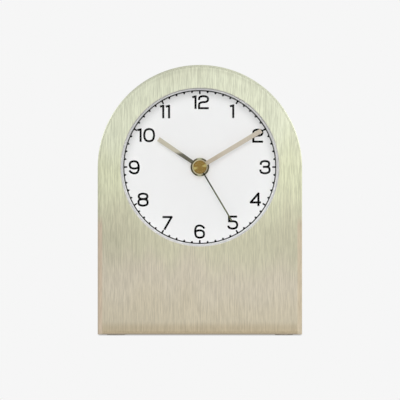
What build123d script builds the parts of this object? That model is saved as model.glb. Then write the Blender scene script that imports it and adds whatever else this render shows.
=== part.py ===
from build123d import *
import os
from math import cos, radians, sin

# Arch-topped mantel clock with a quartz movement. Sizes are in millimetres. +X is to the right
# seen from the front, +Y to the rear and +Z up. The origin is on the table, under the middle of
# the case. Angles in the front view are counted from +X towards +Z.

# Case
case_width = 114.0
case_depth = 42.0
dial_height = 93.35  # hand axis above the underside of the case
sheet = 1.0  # champagne metal of the fascia and the band
front_edge = 2.0  # outer radius of the fascia's rolled front edge
front_lip = 4.0  # depth of the fascia's returned edge
fit_gap = 0.2  # between the metal and the mouldings inside it
press_gap = 0.02  # radial gap of a pressed fit
running_gap = 0.05  # radial gap of a running fit
cover_recess = 1.0  # rear cover in from the band's rear edge
overrun = 1.0  # how far a cut runs past the face it opens

# Window, lens and dial
bezel_width = 13.0  # metal between the case's side and the window
window_edge = 0.35  # bevel round the window's front edge
lens_rim = 2.1  # lens and dial behind the fascia, past the window's edge
lens_thickness = 1.5
ring_depth = 7.5
ring_step = 0.1  # spacer ring's mouth outside the window's edge
ring_taper = 0.85  # how much the spacer ring closes in towards the dial
dial_thickness = 0.5
seat_gap = 0.15

# Inner frame, a moulded tub
tub_wall = 1.6
tub_floor = 2.0
rib_thickness = 1.4
rib_recess = 0.5
rib_side = 21.0  # outer upright ribs under the dial, in from the case's sides
rib_count = 5  # radial ribs over the dial
boss_radius = 3.5
boss_merge = 0.8  # how far a screw boss is sunk into the wall beside it
boss_low = 12.0  # lower rear screws above the underside of the case
boss_angle = 62.0  # upper rear screws above the hand axis
rail_height = 4.5  # rails that stop the movement from turning
rail_gap = 0.3

# Rear cover and its screws
cover_thickness = 2.0
collar_gap = 0.5  # round the movement
collar_wall = 1.5
collar_front = 6.5  # the collar's front edge in front of the movement's back
screw_radius = 1.2
screw_length = 8.0
head_radius = 2.4
head_thickness = 1.2
head_sink = 1.0
head_gap = 0.3

# Base plate and feet
base_thickness = 2.0
foot_stand = 0.5  # how far the pads stand out below the case
foot_radius = 5.0
foot_recess = 1.0
foot_gap = 0.1
foot_side = 10.0  # pad centres in from the case's sides
foot_end = 10.5  # pad centres in from the case's front and back
base_screw_side = 21.0  # in from the case's sides
base_screw_front = 11.0  # behind the tub's floor
base_boss_radius = 3.2
base_boss_height = 6.0

# Movement housing
movement_wall = 1.0
movement_rim = 1.2
movement_corner = 2.5
split_depth = 7.0  # joint between the two halves behind the movement's front face
washer_radius = 8.0
washer_thickness = 1.0
bush_radius = 4.0
bush_flange = 5.0
bush_flange_thickness = 0.3
bush_stand = 0.4  # bush in front of its nut
nut_radius = 4.8
nut_thickness = 1.6
nut_slot_width = 1.2
nut_slot_depth = 0.7

# Battery bay
cell_radius = 7.25
cell_length = 50.5
nub_radius = 2.75
nub_length = 1.0
bay_gap = 0.35
bay_wall = 1.0
cell_front_gap = 0.1
contact_thickness = 0.3
contact_width = 3.6
contact_gap = 0.05
contact_below = 4.0  # contact plates below the cell's axis
leaf_room = 2.75  # for the sprung leaf at the cell's flat end
train_room = 10.6  # between the hand axis and the battery bay
slot_play = 0.2  # in the slots that the contacts pass through

# Gear train, teeth
rotor_teeth = 6
intermediate_teeth = 36
intermediate_pinion_teeth = 6
seconds_teeth = 30
seconds_pinion_teeth = 6
third_teeth = 45
third_pinion_teeth = 6
centre_teeth = 48
minute_pinion_teeth = 8
minute_wheel_teeth = 24
hour_pinion_teeth = 6
hour_teeth = 24
setting_teeth = 8
addendum_share = 0.85
dedendum_share = 1.15
root_share = 0.58
tip_share = 0.22

# Gear train, places
train_distance = 7.2
rotor_distance = 7.0
motion_distance = 6.0
third_angle = 60.0
intermediate_angle = 150.0
rotor_angle = 110.0
minute_wheel_angle = -30.0
setting_angle = 20.0
wheel_thickness = 0.8
layer_gap = 0.4
pinion_proud = 0.2
arbor_radius = 0.3
pivot_wall = 0.9
pivot_depth = 1.2
seconds_arbor_radius = 0.5
minute_tube_radius = 1.5
minute_neck_radius = 1.0
hour_tube_radius = 2.5
setting_arbor_radius = 1.0
setting_pin_radius = 0.5
minute_post_radius = 0.4
clutch_radius = 3.0
clutch_thickness = 0.4
spoke_count = 4
spoke_width = 1.3
wheel_hub = 2.2
wheel_rim = 1.2

# Middle plate
plate_thickness = 0.8
plate_margin = 7.4  # plate past the rotor's axis at the left
plate_side = 5.2  # plate past the setting arbor at the right
plate_rise = 3.8  # plate above the rotor's axis
plate_corner = 1.8
post_inset = 2.0
post_radius = 1.4
spigot_radius = 0.7
spigot_stand = 0.4

# Motor
magnet_radius = 2.5
magnet_length = 2.4
magnet_gap = 0.4
stator_ring = 1.7
stator_thickness = 1.0
stator_bar = 3.6
stator_left = 20.2  # middle of the left leg from the hand axis
stator_right = 4.3  # middle of the right leg from the hand axis
coil_gap = 1.4  # between the stator's ring and the bobbin
top_gap = 3.0  # between the bobbin and the housing
core_width = 3.0
core_thickness = 0.9
core_end = 1.7
bobbin_wall = 0.6
bobbin_radius = 3.8
bobbin_flange = 0.8
bobbin_inset = 2.2  # flanges in from the legs' middles
winding_radius = 3.4
motor_screw_radius = 0.7
motor_head_radius = 1.4
motor_head_thickness = 0.8

# Circuit board
board_thickness = 0.8
board_gap = 0.8  # between the board and the housing
board_height = 11.2
board_side = 4.2  # board's left edge from the middle of the stator's right leg
board_depth = 9.0  # board's front face behind the movement's front face
board_post_inset = 2.0
crystal_radius = 1.0
crystal_length = 6.0
crystal_drop = 2.4  # crystal below the board's top edge
chip_radius = 2.4
chip_height = 0.8
chip_side = 5.5
chip_rise = 5.0
foot_height = 2.0  # contact feet on the board
foot_length = 3.4

# Setting knob
knob_radius = 4.6
knob_length = 3.5
knob_gap = 0.3
knob_flutes = 20
flute_depth = 0.35
flute_shares = (0.0, 0.55, 0.78)
knob_edge = 0.6

# Hands, as they stand in the photograph, clockwise from the top
hour_hand_angle = 304.0
minute_hand_angle = 59.3
seconds_hand_angle = 149.3
hand_thickness = 0.4
seconds_hand_thickness = 0.3
minute_margin = 4.1  # minute hand short of the window's edge
seconds_short = 5.0  # seconds hand shorter than the minute hand
hour_short = 11.9  # hour hand shorter than the minute hand
hour_root_width = 1.85
hour_tip_width = 2.6
hour_hub_radius = 5.2
minute_root_width = 2.2
minute_tip_width = 2.6
minute_hub_radius = 4.3
seconds_width = 0.75
seconds_hub_radius = 2.6
hand_rise = 0.8  # hour hand in front of the bush
hand_step = 1.0  # from the hour hand's front to the minute hand's back
seconds_step = 0.8  # from the minute hand's front to the seconds hand's back
tube_proud = 0.4  # a tube past the hand that it carries
collar_wall_hand = 0.7
collar_gap_hand = 0.2
cap_radius = 3.75
cap_height = 0.9
cap_flat = 0.3

# Places worked out from these sizes
case_radius = case_width / 2
window_radius = case_radius - bezel_width
minute_reach = window_radius - minute_margin
seconds_reach = minute_reach - seconds_short
hour_reach = minute_reach - hour_short
case_bottom = foot_stand
axis_z = case_bottom + dial_height
case_front = -case_depth / 2
case_back = case_depth / 2
lip_back = case_front + front_lip
glass_front = case_front + sheet
ring_front = glass_front + lens_thickness
dial_front = ring_front + ring_depth
floor_front = dial_front + dial_thickness
floor_back = floor_front + tub_floor
movement_front = floor_back + washer_thickness
cover_back = case_back - cover_recess
cover_front = cover_back - cover_thickness
lens_radius = window_radius + lens_rim
well_radius = lens_radius + seat_gap
tub_inset = sheet + fit_gap
tub_bottom = case_bottom + base_thickness
hole_radius = bush_radius + running_gap * 2

bay_front = movement_front + movement_wall
cell_y = bay_front + cell_front_gap + cell_radius
movement_back = cell_y + cell_radius + bay_gap + running_gap
rear_wall_front = movement_back - movement_wall
split = movement_front + split_depth

hour_front = movement_front + movement_wall + layer_gap
hour_back = hour_front + wheel_thickness
minute_front = hour_back + layer_gap
minute_back = minute_front + wheel_thickness
centre_front = minute_back + layer_gap
centre_back = centre_front + wheel_thickness
clutch_back = centre_back + clutch_thickness
neck_back = clutch_back + pinion_proud
third_front = neck_back + layer_gap
third_back = third_front + wheel_thickness
plate_front = third_back + layer_gap
plate_back = plate_front + plate_thickness
seconds_front = plate_back + layer_gap
seconds_back = seconds_front + wheel_thickness
intermediate_front = seconds_back + layer_gap
intermediate_back = intermediate_front + wheel_thickness
magnet_front = intermediate_back + layer_gap
magnet_back = magnet_front + magnet_length
stator_front = (magnet_front + magnet_back - stator_thickness) / 2
stator_back = stator_front + stator_thickness
core_front = stator_front - core_thickness
core_middle = core_front + core_thickness / 2

nut_front = dial_front - nut_thickness
bush_front = nut_front - bush_stand
hour_hand_back = bush_front - hand_rise
hour_hand_front = hour_hand_back - hand_thickness
minute_hand_back = hour_hand_front - hand_step
minute_hand_front = minute_hand_back - hand_thickness
seconds_hand_back = minute_hand_front - seconds_step
seconds_hand_front = seconds_hand_back - seconds_hand_thickness
cap_front = seconds_hand_front - cap_height
hour_tube_front = hour_hand_front - tube_proud
minute_tube_front = minute_hand_front - tube_proud
seconds_arbor_front = seconds_hand_front - cap_height / 2


def beside(place, distance, angle):
    """Place at a distance and angle from another, in the front view."""
    turn = radians(angle)
    return (place[0] + distance * cos(turn), place[1] + distance * sin(turn))


# Axes, from the hand axis
hand_axis = (0, 0)
third_axis = beside(hand_axis, train_distance, third_angle)
intermediate_axis = beside(hand_axis, train_distance, intermediate_angle)
rotor_axis = beside(intermediate_axis, rotor_distance, rotor_angle)
minute_wheel_axis = beside(hand_axis, motion_distance, minute_wheel_angle)
setting_axis = beside(minute_wheel_axis, motion_distance, setting_angle)

# Movement, sideways and in height from the hand axis
stator_radius = magnet_radius + magnet_gap + stator_ring
coil_height = rotor_axis[1] + stator_radius + coil_gap + bobbin_radius
inner_top = coil_height + bobbin_radius + top_gap
bay_wall_top = -train_room
bay_top = bay_wall_top - bay_wall
cell_z = bay_top - bay_gap - cell_radius
inner_bottom = cell_z - cell_radius - bay_gap
inner_side = (cell_length + contact_thickness + contact_gap + leaf_room) / 2
movement_top = inner_top + movement_rim
movement_bottom = inner_bottom - movement_rim
movement_side = inner_side + movement_rim
movement_middle = (movement_top + movement_bottom) / 2
movement_height = movement_top - movement_bottom
plate_left = rotor_axis[0] - plate_margin
plate_right = setting_axis[0] + plate_side
plate_low = bay_wall_top + bay_gap
plate_top = rotor_axis[1] + plate_rise
board_left = stator_right + board_side
board_right = inner_side - board_gap
board_top = inner_top - board_gap
board_bottom = board_top - board_height


def at(place):
    """Moves a front-view outline to a place given from the hand axis."""
    return Pos(place[0], axis_z + place[1])


def slab(outline, front, back):
    """Solid between two depths from an outline drawn in the front view."""
    return extrude(Plane.XZ.offset(-back) * outline, amount=back - front)


def rod(place, radius, front, back):
    """Round bar along the depth, at a place given from the hand axis."""
    return slab(at(place) * Circle(radius), front, back)


def pipe(place, radius, bore, front, back):
    """Round tube along the depth, at a place given from the hand axis."""
    return slab(at(place) * (Circle(radius) - Circle(bore)), front, back)


def block(left, right, low, high, front, back):
    """Box given by its sides from the hand axis and its depths."""
    outline = Pos((left + right) / 2, (low + high) / 2) * Rectangle(right - left, high - low)
    return slab(Pos(0, axis_z) * outline, front, back)


def turned(corners):
    """Solid of revolution about the hand axis, from (radius, depth) corners."""
    section = make_face(Polyline(*corners, close=True))
    plane = Plane(origin=(0, 0, axis_z), x_dir=(1, 0, 0), z_dir=(0, 0, 1))
    return revolve(plane * section, axis=Axis((0, 0, axis_z), (0, 1, 0)))


def along(outline, left, right):
    """Solid along X from an outline in depth and height, which is given from the hand axis."""
    return extrude(Plane.YZ.offset(left) * (Pos(0, axis_z) * outline), amount=right - left)


def upright(outline, low, high):
    """Solid from a plan outline between two heights."""
    return extrude(Plane.XY.offset(low) * outline, amount=high - low)


def arch(inset, bottom):
    """Round-topped outline of the case, drawn in at its sides and top, down to a height."""
    radius = case_radius - inset
    legs = Pos(0, (axis_z + bottom) / 2) * Rectangle(2 * radius, axis_z - bottom)
    return legs + Pos(0, axis_z) * Circle(radius)


def front_edges(solid):
    """Edges round a solid's front face."""
    return solid.edges().group_by(Axis.Y)[0]


def rear_edges(solid):
    """Edges round a solid's back face."""
    return solid.edges().group_by(Axis.Y)[-1]


def toothed(teeth, module, phase):
    """Gear outline about its own centre, with one tooth at the angle phase."""
    pitch_radius = teeth * module / 2
    tip = pitch_radius + addendum_share * module
    root = pitch_radius - dedendum_share * module
    flank = ((root, -root_share), (tip, -tip_share), (tip, tip_share), (root, root_share))
    corners = []
    for tooth in range(teeth):
        for radius, share in flank:
            angle = radians(phase + (tooth + share / 2) * 360 / teeth)
            corners.append((radius * cos(angle), radius * sin(angle)))
    return make_face(Polyline(*corners, close=True))


def meshed(towards, phase, teeth, other_teeth):
    """Phase of a gear that lies towards an angle from one of a known phase, in mesh with it."""
    offset = ((phase - towards) * teeth / 360) % 1
    return towards + 180 - (offset + 1 / 2) * 360 / other_teeth


def spoked(teeth, module, phase):
    """Wheel outline with its teeth, a hub and crossed spokes."""
    outer = teeth * module / 2 - dedendum_share * module - wheel_rim
    window = Circle(outer) - Circle(wheel_hub)
    for spoke in range(spoke_count):
        window -= Rot(0, 0, spoke * 360 / spoke_count) * Rectangle(
            spoke_width, outer + overrun, align=(Align.CENTER, Align.MIN)
        )
    return toothed(teeth, module, phase) - window


def module_of(distance, teeth, other_teeth):
    """Module of two gears that mesh at a distance."""
    return 2 * distance / (teeth + other_teeth)


def write(name, solid):
    """Writes one sub-part under its node's name."""
    solid.label = name
    export_step(solid, "parts/" + name + ".step")


# Metal case


def front_fascia():
    """Pressed front with a rolled edge, a returned lip and the round, bevelled window."""
    shell = slab(arch(0, case_bottom), case_front, lip_back)
    shell = fillet(front_edges(shell), front_edge)
    hollow = slab(arch(sheet, case_bottom + sheet), glass_front, lip_back + overrun)
    hollow = chamfer(front_edges(hollow), front_edge - sheet)
    window = turned(
        [
            (0, case_front - overrun),
            (window_radius + window_edge + overrun, case_front - overrun),
            (window_radius, case_front + window_edge),
            (window_radius, glass_front + overrun),
            (0, glass_front + overrun),
        ]
    )
    return shell - hollow - window


def case_band():
    """Strip bent over the sides and the arch, open below."""
    strip = arch(0, case_bottom) - arch(sheet, case_bottom - overrun)
    return slab(strip, lip_back, case_back)


# Lens, spacer ring and dial


def lens():
    """Flat clear lens behind the fascia."""
    return rod(hand_axis, lens_radius, glass_front, ring_front)


def lens_ring():
    """White spacer that stands between the lens and the dial."""
    mouth = window_radius + ring_step
    return turned(
        [
            (mouth, ring_front),
            (lens_radius, ring_front),
            (lens_radius, dial_front),
            (mouth - ring_taper, dial_front),
        ]
    )


def dial_plate():
    """Dial disc with the hole for the movement's bush."""
    return pipe(hand_axis, lens_radius, hole_radius, dial_front, floor_front)


# Inner frame

boss_side = case_radius - tub_inset - tub_wall - boss_radius + boss_merge
upper_boss = beside(hand_axis, boss_side, boss_angle)
lower_boss = (boss_side, case_bottom + boss_low - axis_z)
rear_screws = [(side * x, z) for x, z in (upper_boss, lower_boss) for side in (1, -1)]
base_screw_x = case_radius - base_screw_side
base_screws = [(side * base_screw_x, floor_back + base_screw_front) for side in (1, -1)]


def inner_frame():
    """Moulded tub with the dial's well in front and the screw bosses behind."""
    outer = arch(tub_inset, tub_bottom)
    inner = arch(tub_inset + tub_wall, tub_bottom + tub_wall)
    rim_radius = well_radius + tub_wall
    well = Pos(0, axis_z) * Circle(rim_radius)
    tub = slab(outer, glass_front, cover_front)
    tub = chamfer(front_edges(tub), front_edge - sheet)
    tub -= slab(inner - well, glass_front, floor_front)
    tub -= slab(inner, floor_back, cover_front)
    tub += slab(frame_ribs(rim_radius), glass_front + rib_recess, floor_front)
    tub -= rod(hand_axis, well_radius, glass_front, floor_front)
    tub -= rod(hand_axis, hole_radius, floor_front, floor_back)
    for place in rear_screws:
        boss = rod(place, boss_radius, floor_back, cover_front)
        tub += boss & slab(outer, floor_back, cover_front)
        tub -= rod(place, screw_radius + press_gap, cover_back - screw_length - overrun, cover_front)
    boss_top = tub_bottom + tub_wall + base_boss_height
    for x, y in base_screws:
        tub += upright(Pos(x, y) * Circle(base_boss_radius), tub_bottom, boss_top)
        tub -= upright(Pos(x, y) * Circle(screw_radius + press_gap), tub_bottom, boss_top)
    for side in (1, -1):
        rail = Rectangle(rib_thickness, movement_height)
        place = (side * (movement_side + rail_gap + rib_thickness / 2), movement_middle)
        tub += slab(at(place) * rail, floor_back, floor_back + rail_height)
    return tub


def frame_ribs(rim_radius):
    """Ribs between the dial's well and the tub's walls, as one outline."""
    inner_end = rim_radius - tub_wall / 2
    outer_end = case_radius - tub_inset - tub_wall / 2
    ribs = Sketch()
    for step in range(rib_count):
        rib = Pos((inner_end + outer_end) / 2, 0) * Rectangle(outer_end - inner_end, rib_thickness)
        ribs += Pos(0, axis_z) * (Rot(0, 0, (step + 1) * 180 / (rib_count + 1)) * rib)
    low = tub_bottom + tub_wall / 2
    for place in (-1, 0, 1):
        rib = Rectangle(rib_thickness, axis_z - low, align=(Align.CENTER, Align.MIN))
        ribs += Pos(place * (case_radius - rib_side), low) * rib
    return ribs


# Rear cover, base and feet


def round_movement(gap):
    """Rectangle round the movement's housing, at a gap from it."""
    outline = Rectangle(2 * (movement_side + gap), movement_height + 2 * gap)
    return at((0, movement_middle)) * outline


def rear_cover():
    """Flat back with a collar round the movement and sunk screw holes."""
    aperture = round_movement(collar_gap)
    collar = round_movement(collar_gap + collar_wall)
    front = movement_back - collar_front
    cover = slab(arch(tub_inset, tub_bottom + fit_gap), cover_front, cover_back)
    cover += slab(collar, front, cover_front)
    cover -= slab(aperture, front - overrun, cover_back + overrun)
    for place in rear_screws:
        cover -= rod(place, screw_radius + running_gap, cover_front, cover_back)
        cover -= rod(place, head_radius + head_gap, cover_back - head_sink, cover_back)
    return cover


def screw(shank, head):
    """Screw along +Z with its head below the origin."""
    return extrude(Circle(screw_radius), amount=shank) + extrude(Circle(head_radius), amount=-head)


def rear_cover_screws():
    """Four screws that hold the cover to the tub."""
    seat = cover_back - head_sink
    shank = screw_length - head_sink
    solids = []
    for x, z in rear_screws:
        solids.append(Pos(x, seat, axis_z + z) * (Rot(90, 0, 0) * screw(shank, head_thickness)))
    return Compound(solids)


def base_plate():
    """Flat underside between the band's legs, with recesses for the pads and screws."""
    width = case_width - 2 * tub_inset
    front = lip_back + fit_gap
    plate = Pos(0, (front + case_back) / 2) * Rectangle(width, case_back - front)
    base = upright(plate, case_bottom, tub_bottom)
    for x, y in feet:
        recess = Pos(x, y) * Circle(foot_radius + foot_gap)
        base -= upright(recess, case_bottom, case_bottom + foot_recess)
    for x, y in base_screws:
        base -= upright(Pos(x, y) * Circle(screw_radius + running_gap), case_bottom, tub_bottom)
        recess = Pos(x, y) * Circle(head_radius + head_gap)
        base -= upright(recess, case_bottom, case_bottom + head_thickness)
    return base


feet = [
    (x * (case_radius - foot_side), y * (case_depth / 2 - foot_end)) for y in (-1, 1) for x in (-1, 1)
]


def foot_pads():
    """Four round pads set into the base."""
    return Compound(
        [upright(Pos(x, y) * Circle(foot_radius), 0, case_bottom + foot_recess) for x, y in feet]
    )


def base_plate_screws():
    """Two screws that hold the base to the tub."""
    seat = case_bottom + head_thickness
    shank = screw_length - head_thickness
    return Compound([Pos(x, y, seat) * screw(shank, head_thickness) for x, y in base_screws])


# Movement housing

plate_posts = [
    (x, z)
    for x in (plate_left + post_inset, plate_right - post_inset)
    for z in (plate_low + post_inset, plate_top - post_inset)
]
core_posts = [(-stator_left, coil_height), (stator_right, coil_height)]
board_posts = [
    (board_left + board_post_inset, board_top - board_post_inset),
    (board_right - board_post_inset, board_top - board_post_inset),
]
board_front = movement_front + board_depth
board_back = board_front + board_thickness


def housing_face():
    """Outline of the movement's housing."""
    outline = RectangleRounded(2 * movement_side, movement_height, movement_corner)
    return at((0, movement_middle)) * outline


def housing_rim(front, back):
    """Rim of the movement's housing between two depths."""
    hollow = at((0, movement_middle)) * Rectangle(2 * inner_side, inner_top - inner_bottom)
    return slab(housing_face() - hollow, front, back)


def movement_front_case():
    """Front half of the housing with the posts that carry the train, the motor and the board."""
    case = slab(housing_face(), movement_front, bay_front) + housing_rim(bay_front, split)
    for place in plate_posts:
        case += rod(place, post_radius, bay_front, plate_front)
        case += rod(place, spigot_radius, plate_front, plate_back + spigot_stand)
    for place in core_posts:
        case += rod(place, post_radius + spigot_radius / 2, bay_front, core_front)
        case -= rod(place, motor_screw_radius + press_gap, core_front - core_end * 2, core_front)
    for place in board_posts:
        case += rod(place, post_radius, bay_front, board_front)
        case += rod(place, spigot_radius, board_front, board_back + spigot_stand)
    third_post = centre_front - layer_gap - pinion_proud
    case += rod(third_axis, arbor_radius + pivot_wall, bay_front, third_post)
    case -= rod(third_axis, arbor_radius + running_gap, third_post - pivot_depth, third_post)
    case += rod(minute_wheel_axis, minute_post_radius, bay_front, minute_back + layer_gap / 2)
    setting_post = minute_front - layer_gap
    case += rod(setting_axis, setting_pin_radius + pivot_wall, bay_front, setting_post)
    case -= rod(setting_axis, setting_pin_radius + running_gap, bay_front, setting_post)
    case -= rod(hand_axis, bush_radius + press_gap, movement_front, bay_front)
    return case


def movement_rear_case():
    """Rear half of the housing with the battery bay's wall and the rear pivots' bosses."""
    bay = block(-inner_side, inner_side, inner_bottom, bay_top, rear_wall_front, movement_back)
    case = slab(housing_face(), rear_wall_front, movement_back) - bay
    case += housing_rim(split, movement_back)
    wall_side = inner_side - contact_thickness - slot_play
    wall_front = bay_front + cell_front_gap
    case += block(-wall_side, wall_side, bay_top, bay_wall_top, wall_front, rear_wall_front)
    seconds_boss = intermediate_back + layer_gap * 2
    for place, radius, front in (
        (hand_axis, seconds_arbor_radius, seconds_boss),
        (intermediate_axis, arbor_radius, magnet_front),
        (rotor_axis, arbor_radius, magnet_back + layer_gap),
    ):
        case += rod(place, radius + pivot_wall, front, rear_wall_front)
        case -= rod(place, radius + running_gap, front, front + pivot_depth)
    case -= rod(setting_axis, setting_arbor_radius + running_gap, rear_wall_front, movement_back)
    return case


def middle_plate():
    """Plate between the two layers of the train, with its pivot holes."""
    outline = RectangleRounded(plate_right - plate_left, plate_top - plate_low, plate_corner)
    middle = ((plate_right + plate_left) / 2, (plate_top + plate_low) / 2)
    plate = slab(at(middle) * outline, plate_front, plate_back)
    holes = [(place, spigot_radius + running_gap) for place in plate_posts]
    holes += [
        (hand_axis, seconds_arbor_radius + running_gap),
        (third_axis, arbor_radius + running_gap),
        (intermediate_axis, arbor_radius + running_gap),
        (rotor_axis, arbor_radius + running_gap),
        (setting_axis, setting_arbor_radius + pivot_wall / 2),
    ]
    for place, radius in holes:
        plate -= rod(place, radius, plate_front, plate_back)
    return plate


def threaded_bush():
    """Brass bush that carries the movement in the dial."""
    bush = pipe(hand_axis, bush_radius, hour_tube_radius + running_gap, bush_front, bay_front)
    flange = pipe(
        hand_axis,
        bush_flange,
        hour_tube_radius + running_gap,
        bay_front,
        bay_front + bush_flange_thickness,
    )
    return bush + flange


def ring_nut():
    """Round slotted nut that clamps the movement behind the dial."""
    nut = pipe(hand_axis, nut_radius, bush_radius + press_gap, nut_front, dial_front)
    slot = at(hand_axis) * Rectangle(2 * nut_radius + overrun, nut_slot_width)
    return nut - slab(slot, nut_front, nut_front + nut_slot_depth)


def mounting_washer():
    """Rubber washer between the tub's floor and the movement."""
    return pipe(hand_axis, washer_radius, hole_radius, floor_back, movement_front)


# Motor


def stator():
    """Iron pole piece with the rotor's hole and two legs up to the coil's core."""
    legs_middle = (stator_right - stator_left) / 2
    span = stator_left + stator_right
    outline = Pos(legs_middle, rotor_axis[1]) * Rectangle(span + stator_bar, stator_bar)
    outline += Pos(*rotor_axis) * Circle(stator_radius)
    leg_top = coil_height + core_width / 2 + core_end / 2
    for x in (-stator_left, stator_right):
        outline += Pos(x, (rotor_axis[1] + leg_top) / 2) * Rectangle(stator_bar, leg_top - rotor_axis[1])
        outline -= Pos(x, coil_height) * Circle(motor_screw_radius + running_gap)
    outline -= Pos(*rotor_axis) * Circle(magnet_radius + magnet_gap)
    return slab(Pos(0, axis_z) * outline, stator_front, stator_back)


def coil_core():
    """Iron bar through the coil."""
    left = -stator_left - core_end
    right = stator_right + core_end
    low = coil_height - core_width / 2
    core = block(left, right, low, low + core_width, core_front, stator_front)
    for place in core_posts:
        core -= rod(place, motor_screw_radius + running_gap, core_front, stator_front)
    return core


barrel_height = core_width + 2 * (running_gap + bobbin_wall)
barrel_depth = core_thickness + 2 * (running_gap + bobbin_wall)
bobbin_left = -stator_left + bobbin_inset
bobbin_right = stator_right - bobbin_inset


def coil_bobbin():
    """Moulded bobbin with two round flanges and a slot for the core."""
    middle = Pos(core_middle, coil_height)
    bobbin = along(middle * Rectangle(barrel_depth, barrel_height), bobbin_left, bobbin_right)
    for left in (bobbin_left, bobbin_right - bobbin_flange):
        bobbin += along(middle * Circle(bobbin_radius), left, left + bobbin_flange)
    slot = Rectangle(core_thickness + 2 * running_gap, core_width + 2 * running_gap)
    return bobbin - along(middle * slot, bobbin_left, bobbin_right)


def coil_winding():
    """Winding between the bobbin's flanges."""
    middle = Pos(core_middle, coil_height)
    barrel = Rectangle(barrel_depth, barrel_height)
    return along(
        middle * (Circle(winding_radius) - barrel),
        bobbin_left + bobbin_flange,
        bobbin_right - bobbin_flange,
    )


def motor_screws():
    """Two screws that clamp the stator and the core to their posts."""
    solids = []
    for place in core_posts:
        shank = rod(place, motor_screw_radius, core_front - core_end, stator_back)
        head = rod(place, motor_head_radius, stator_back, stator_back + motor_head_thickness)
        solids.append(shank + head)
    return Compound(solids)


# Circuit board and contacts

crystal_z = board_top - crystal_drop
crystal_left = board_left + 2 * board_post_inset
contact_foot_low = board_bottom + slot_play


def circuit_board():
    """Small board on two spigots."""
    board = block(board_left, board_right, board_bottom, board_top, board_front, board_back)
    for place in board_posts:
        board -= rod(place, spigot_radius + running_gap, board_front, board_back)
    return board


def quartz_crystal():
    """Can of the crystal, lying on the board."""
    middle = Pos(board_back + crystal_radius, crystal_z)
    return along(middle * Circle(crystal_radius), crystal_left, crystal_left + crystal_length)


def driver_chip():
    """Low dome of resin over the driver chip."""
    place = (board_left + chip_side, board_bottom + chip_rise)
    dome = rod(place, chip_radius, board_back, board_back + chip_height)
    return chamfer(rear_edges(dome), chip_height / 2)


def positive_contact():
    """Strip from the cell's nub up the right side to the front of the board."""
    right = inner_side
    left = right - contact_thickness
    top = contact_foot_low + foot_height
    foot_front = board_front - contact_thickness
    strip = block(left, right, cell_z - contact_below, top, board_front - contact_width, board_front)
    return strip + block(right - foot_length, right, contact_foot_low, top, foot_front, board_front)


nub_end = inner_side - contact_thickness - contact_gap
cell_left = nub_end - cell_length
wire_front = magnet_front
negative_x = board_right - foot_length - contact_width


def negative_contact():
    """Sprung plate at the cell's flat end, with its strip to the back of the board."""
    left = -inner_side
    rise = negative_x - contact_thickness
    wire_back = wire_front + contact_width
    plate_front_edge = cell_y - contact_width / 2
    top = bay_wall_top + slot_play + contact_thickness
    wire_low = top - contact_thickness
    foot_low = contact_foot_low
    foot_top = foot_low + foot_height
    foot_back = board_back + contact_thickness
    plate = block(left, left + contact_thickness, cell_z - contact_below, top, plate_front_edge, wire_back)
    plate += block(left, negative_x, wire_low, top, wire_front, wire_back)
    plate += block(rise, negative_x, wire_low, foot_top, wire_front, wire_back)
    plate += block(negative_x - foot_length, negative_x, foot_low, foot_top, board_back, foot_back)
    plate += block(rise, negative_x, foot_low, foot_top, board_back, wire_front)
    return plate + contact_leaf(left)


def contact_leaf(left):
    """Bowed leaf that presses on the cell."""
    bulge = cell_left - contact_gap - left
    low = (left, cell_z - contact_below)
    high = (left, cell_z + contact_below)
    outside = ThreePointArc(low, (left + bulge, cell_z), high)
    inside = ThreePointArc(
        (left, cell_z + contact_below - contact_thickness),
        (left + bulge - contact_thickness, cell_z),
        (left, cell_z - contact_below + contact_thickness),
    )
    ends = [Line(outside @ 1, inside @ 0), Line(inside @ 1, outside @ 0)]
    leaf = make_face(outside + inside + ends)
    return slab(Pos(0, axis_z) * leaf, cell_y - contact_width / 2, cell_y + contact_width / 2)


def battery_cell():
    """Round cell lying in the bay, its nub to the right."""
    middle = Pos(cell_y, cell_z)
    can = along(middle * Circle(cell_radius), cell_left, nub_end - nub_length)
    can = chamfer(can.edges().group_by(Axis.X)[0], nub_length / 2)
    return can + along(middle * Circle(nub_radius), nub_end - nub_length, nub_end)


# Gear train

rotor_module = module_of(rotor_distance, rotor_teeth, intermediate_teeth)
intermediate_module = module_of(train_distance, intermediate_pinion_teeth, seconds_teeth)
seconds_module = module_of(train_distance, seconds_pinion_teeth, third_teeth)
third_module = module_of(train_distance, third_pinion_teeth, centre_teeth)
minute_module = module_of(motion_distance, minute_pinion_teeth, minute_wheel_teeth)
hour_module = module_of(motion_distance, hour_pinion_teeth, hour_teeth)

seconds_pinion_phase = 0
third_phase = meshed(third_angle, seconds_pinion_phase, seconds_pinion_teeth, third_teeth)
centre_phase = meshed(third_angle + 180, 0, third_pinion_teeth, centre_teeth)
seconds_phase = meshed(intermediate_angle + 180, 0, intermediate_pinion_teeth, seconds_teeth)
rotor_phase = meshed(rotor_angle, 0, intermediate_teeth, rotor_teeth)
minute_wheel_phase = meshed(minute_wheel_angle, 0, minute_pinion_teeth, minute_wheel_teeth)
hour_phase = meshed(minute_wheel_angle + 180, 0, hour_pinion_teeth, hour_teeth)
setting_phase = meshed(setting_angle, minute_wheel_phase, minute_wheel_teeth, setting_teeth)


def rotor_magnet():
    """Round magnet of the rotor."""
    return pipe(rotor_axis, magnet_radius, arbor_radius + press_gap, magnet_front, magnet_back)


def rotor_pinion():
    """Rotor's pinion and arbor."""
    pinion = at(rotor_axis) * toothed(rotor_teeth, rotor_module, rotor_phase)
    arbor_back = magnet_back + layer_gap + pivot_depth - pinion_proud
    return slab(pinion, intermediate_front - pinion_proud, magnet_front) + rod(
        rotor_axis, arbor_radius, plate_front + pinion_proud, arbor_back
    )


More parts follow.
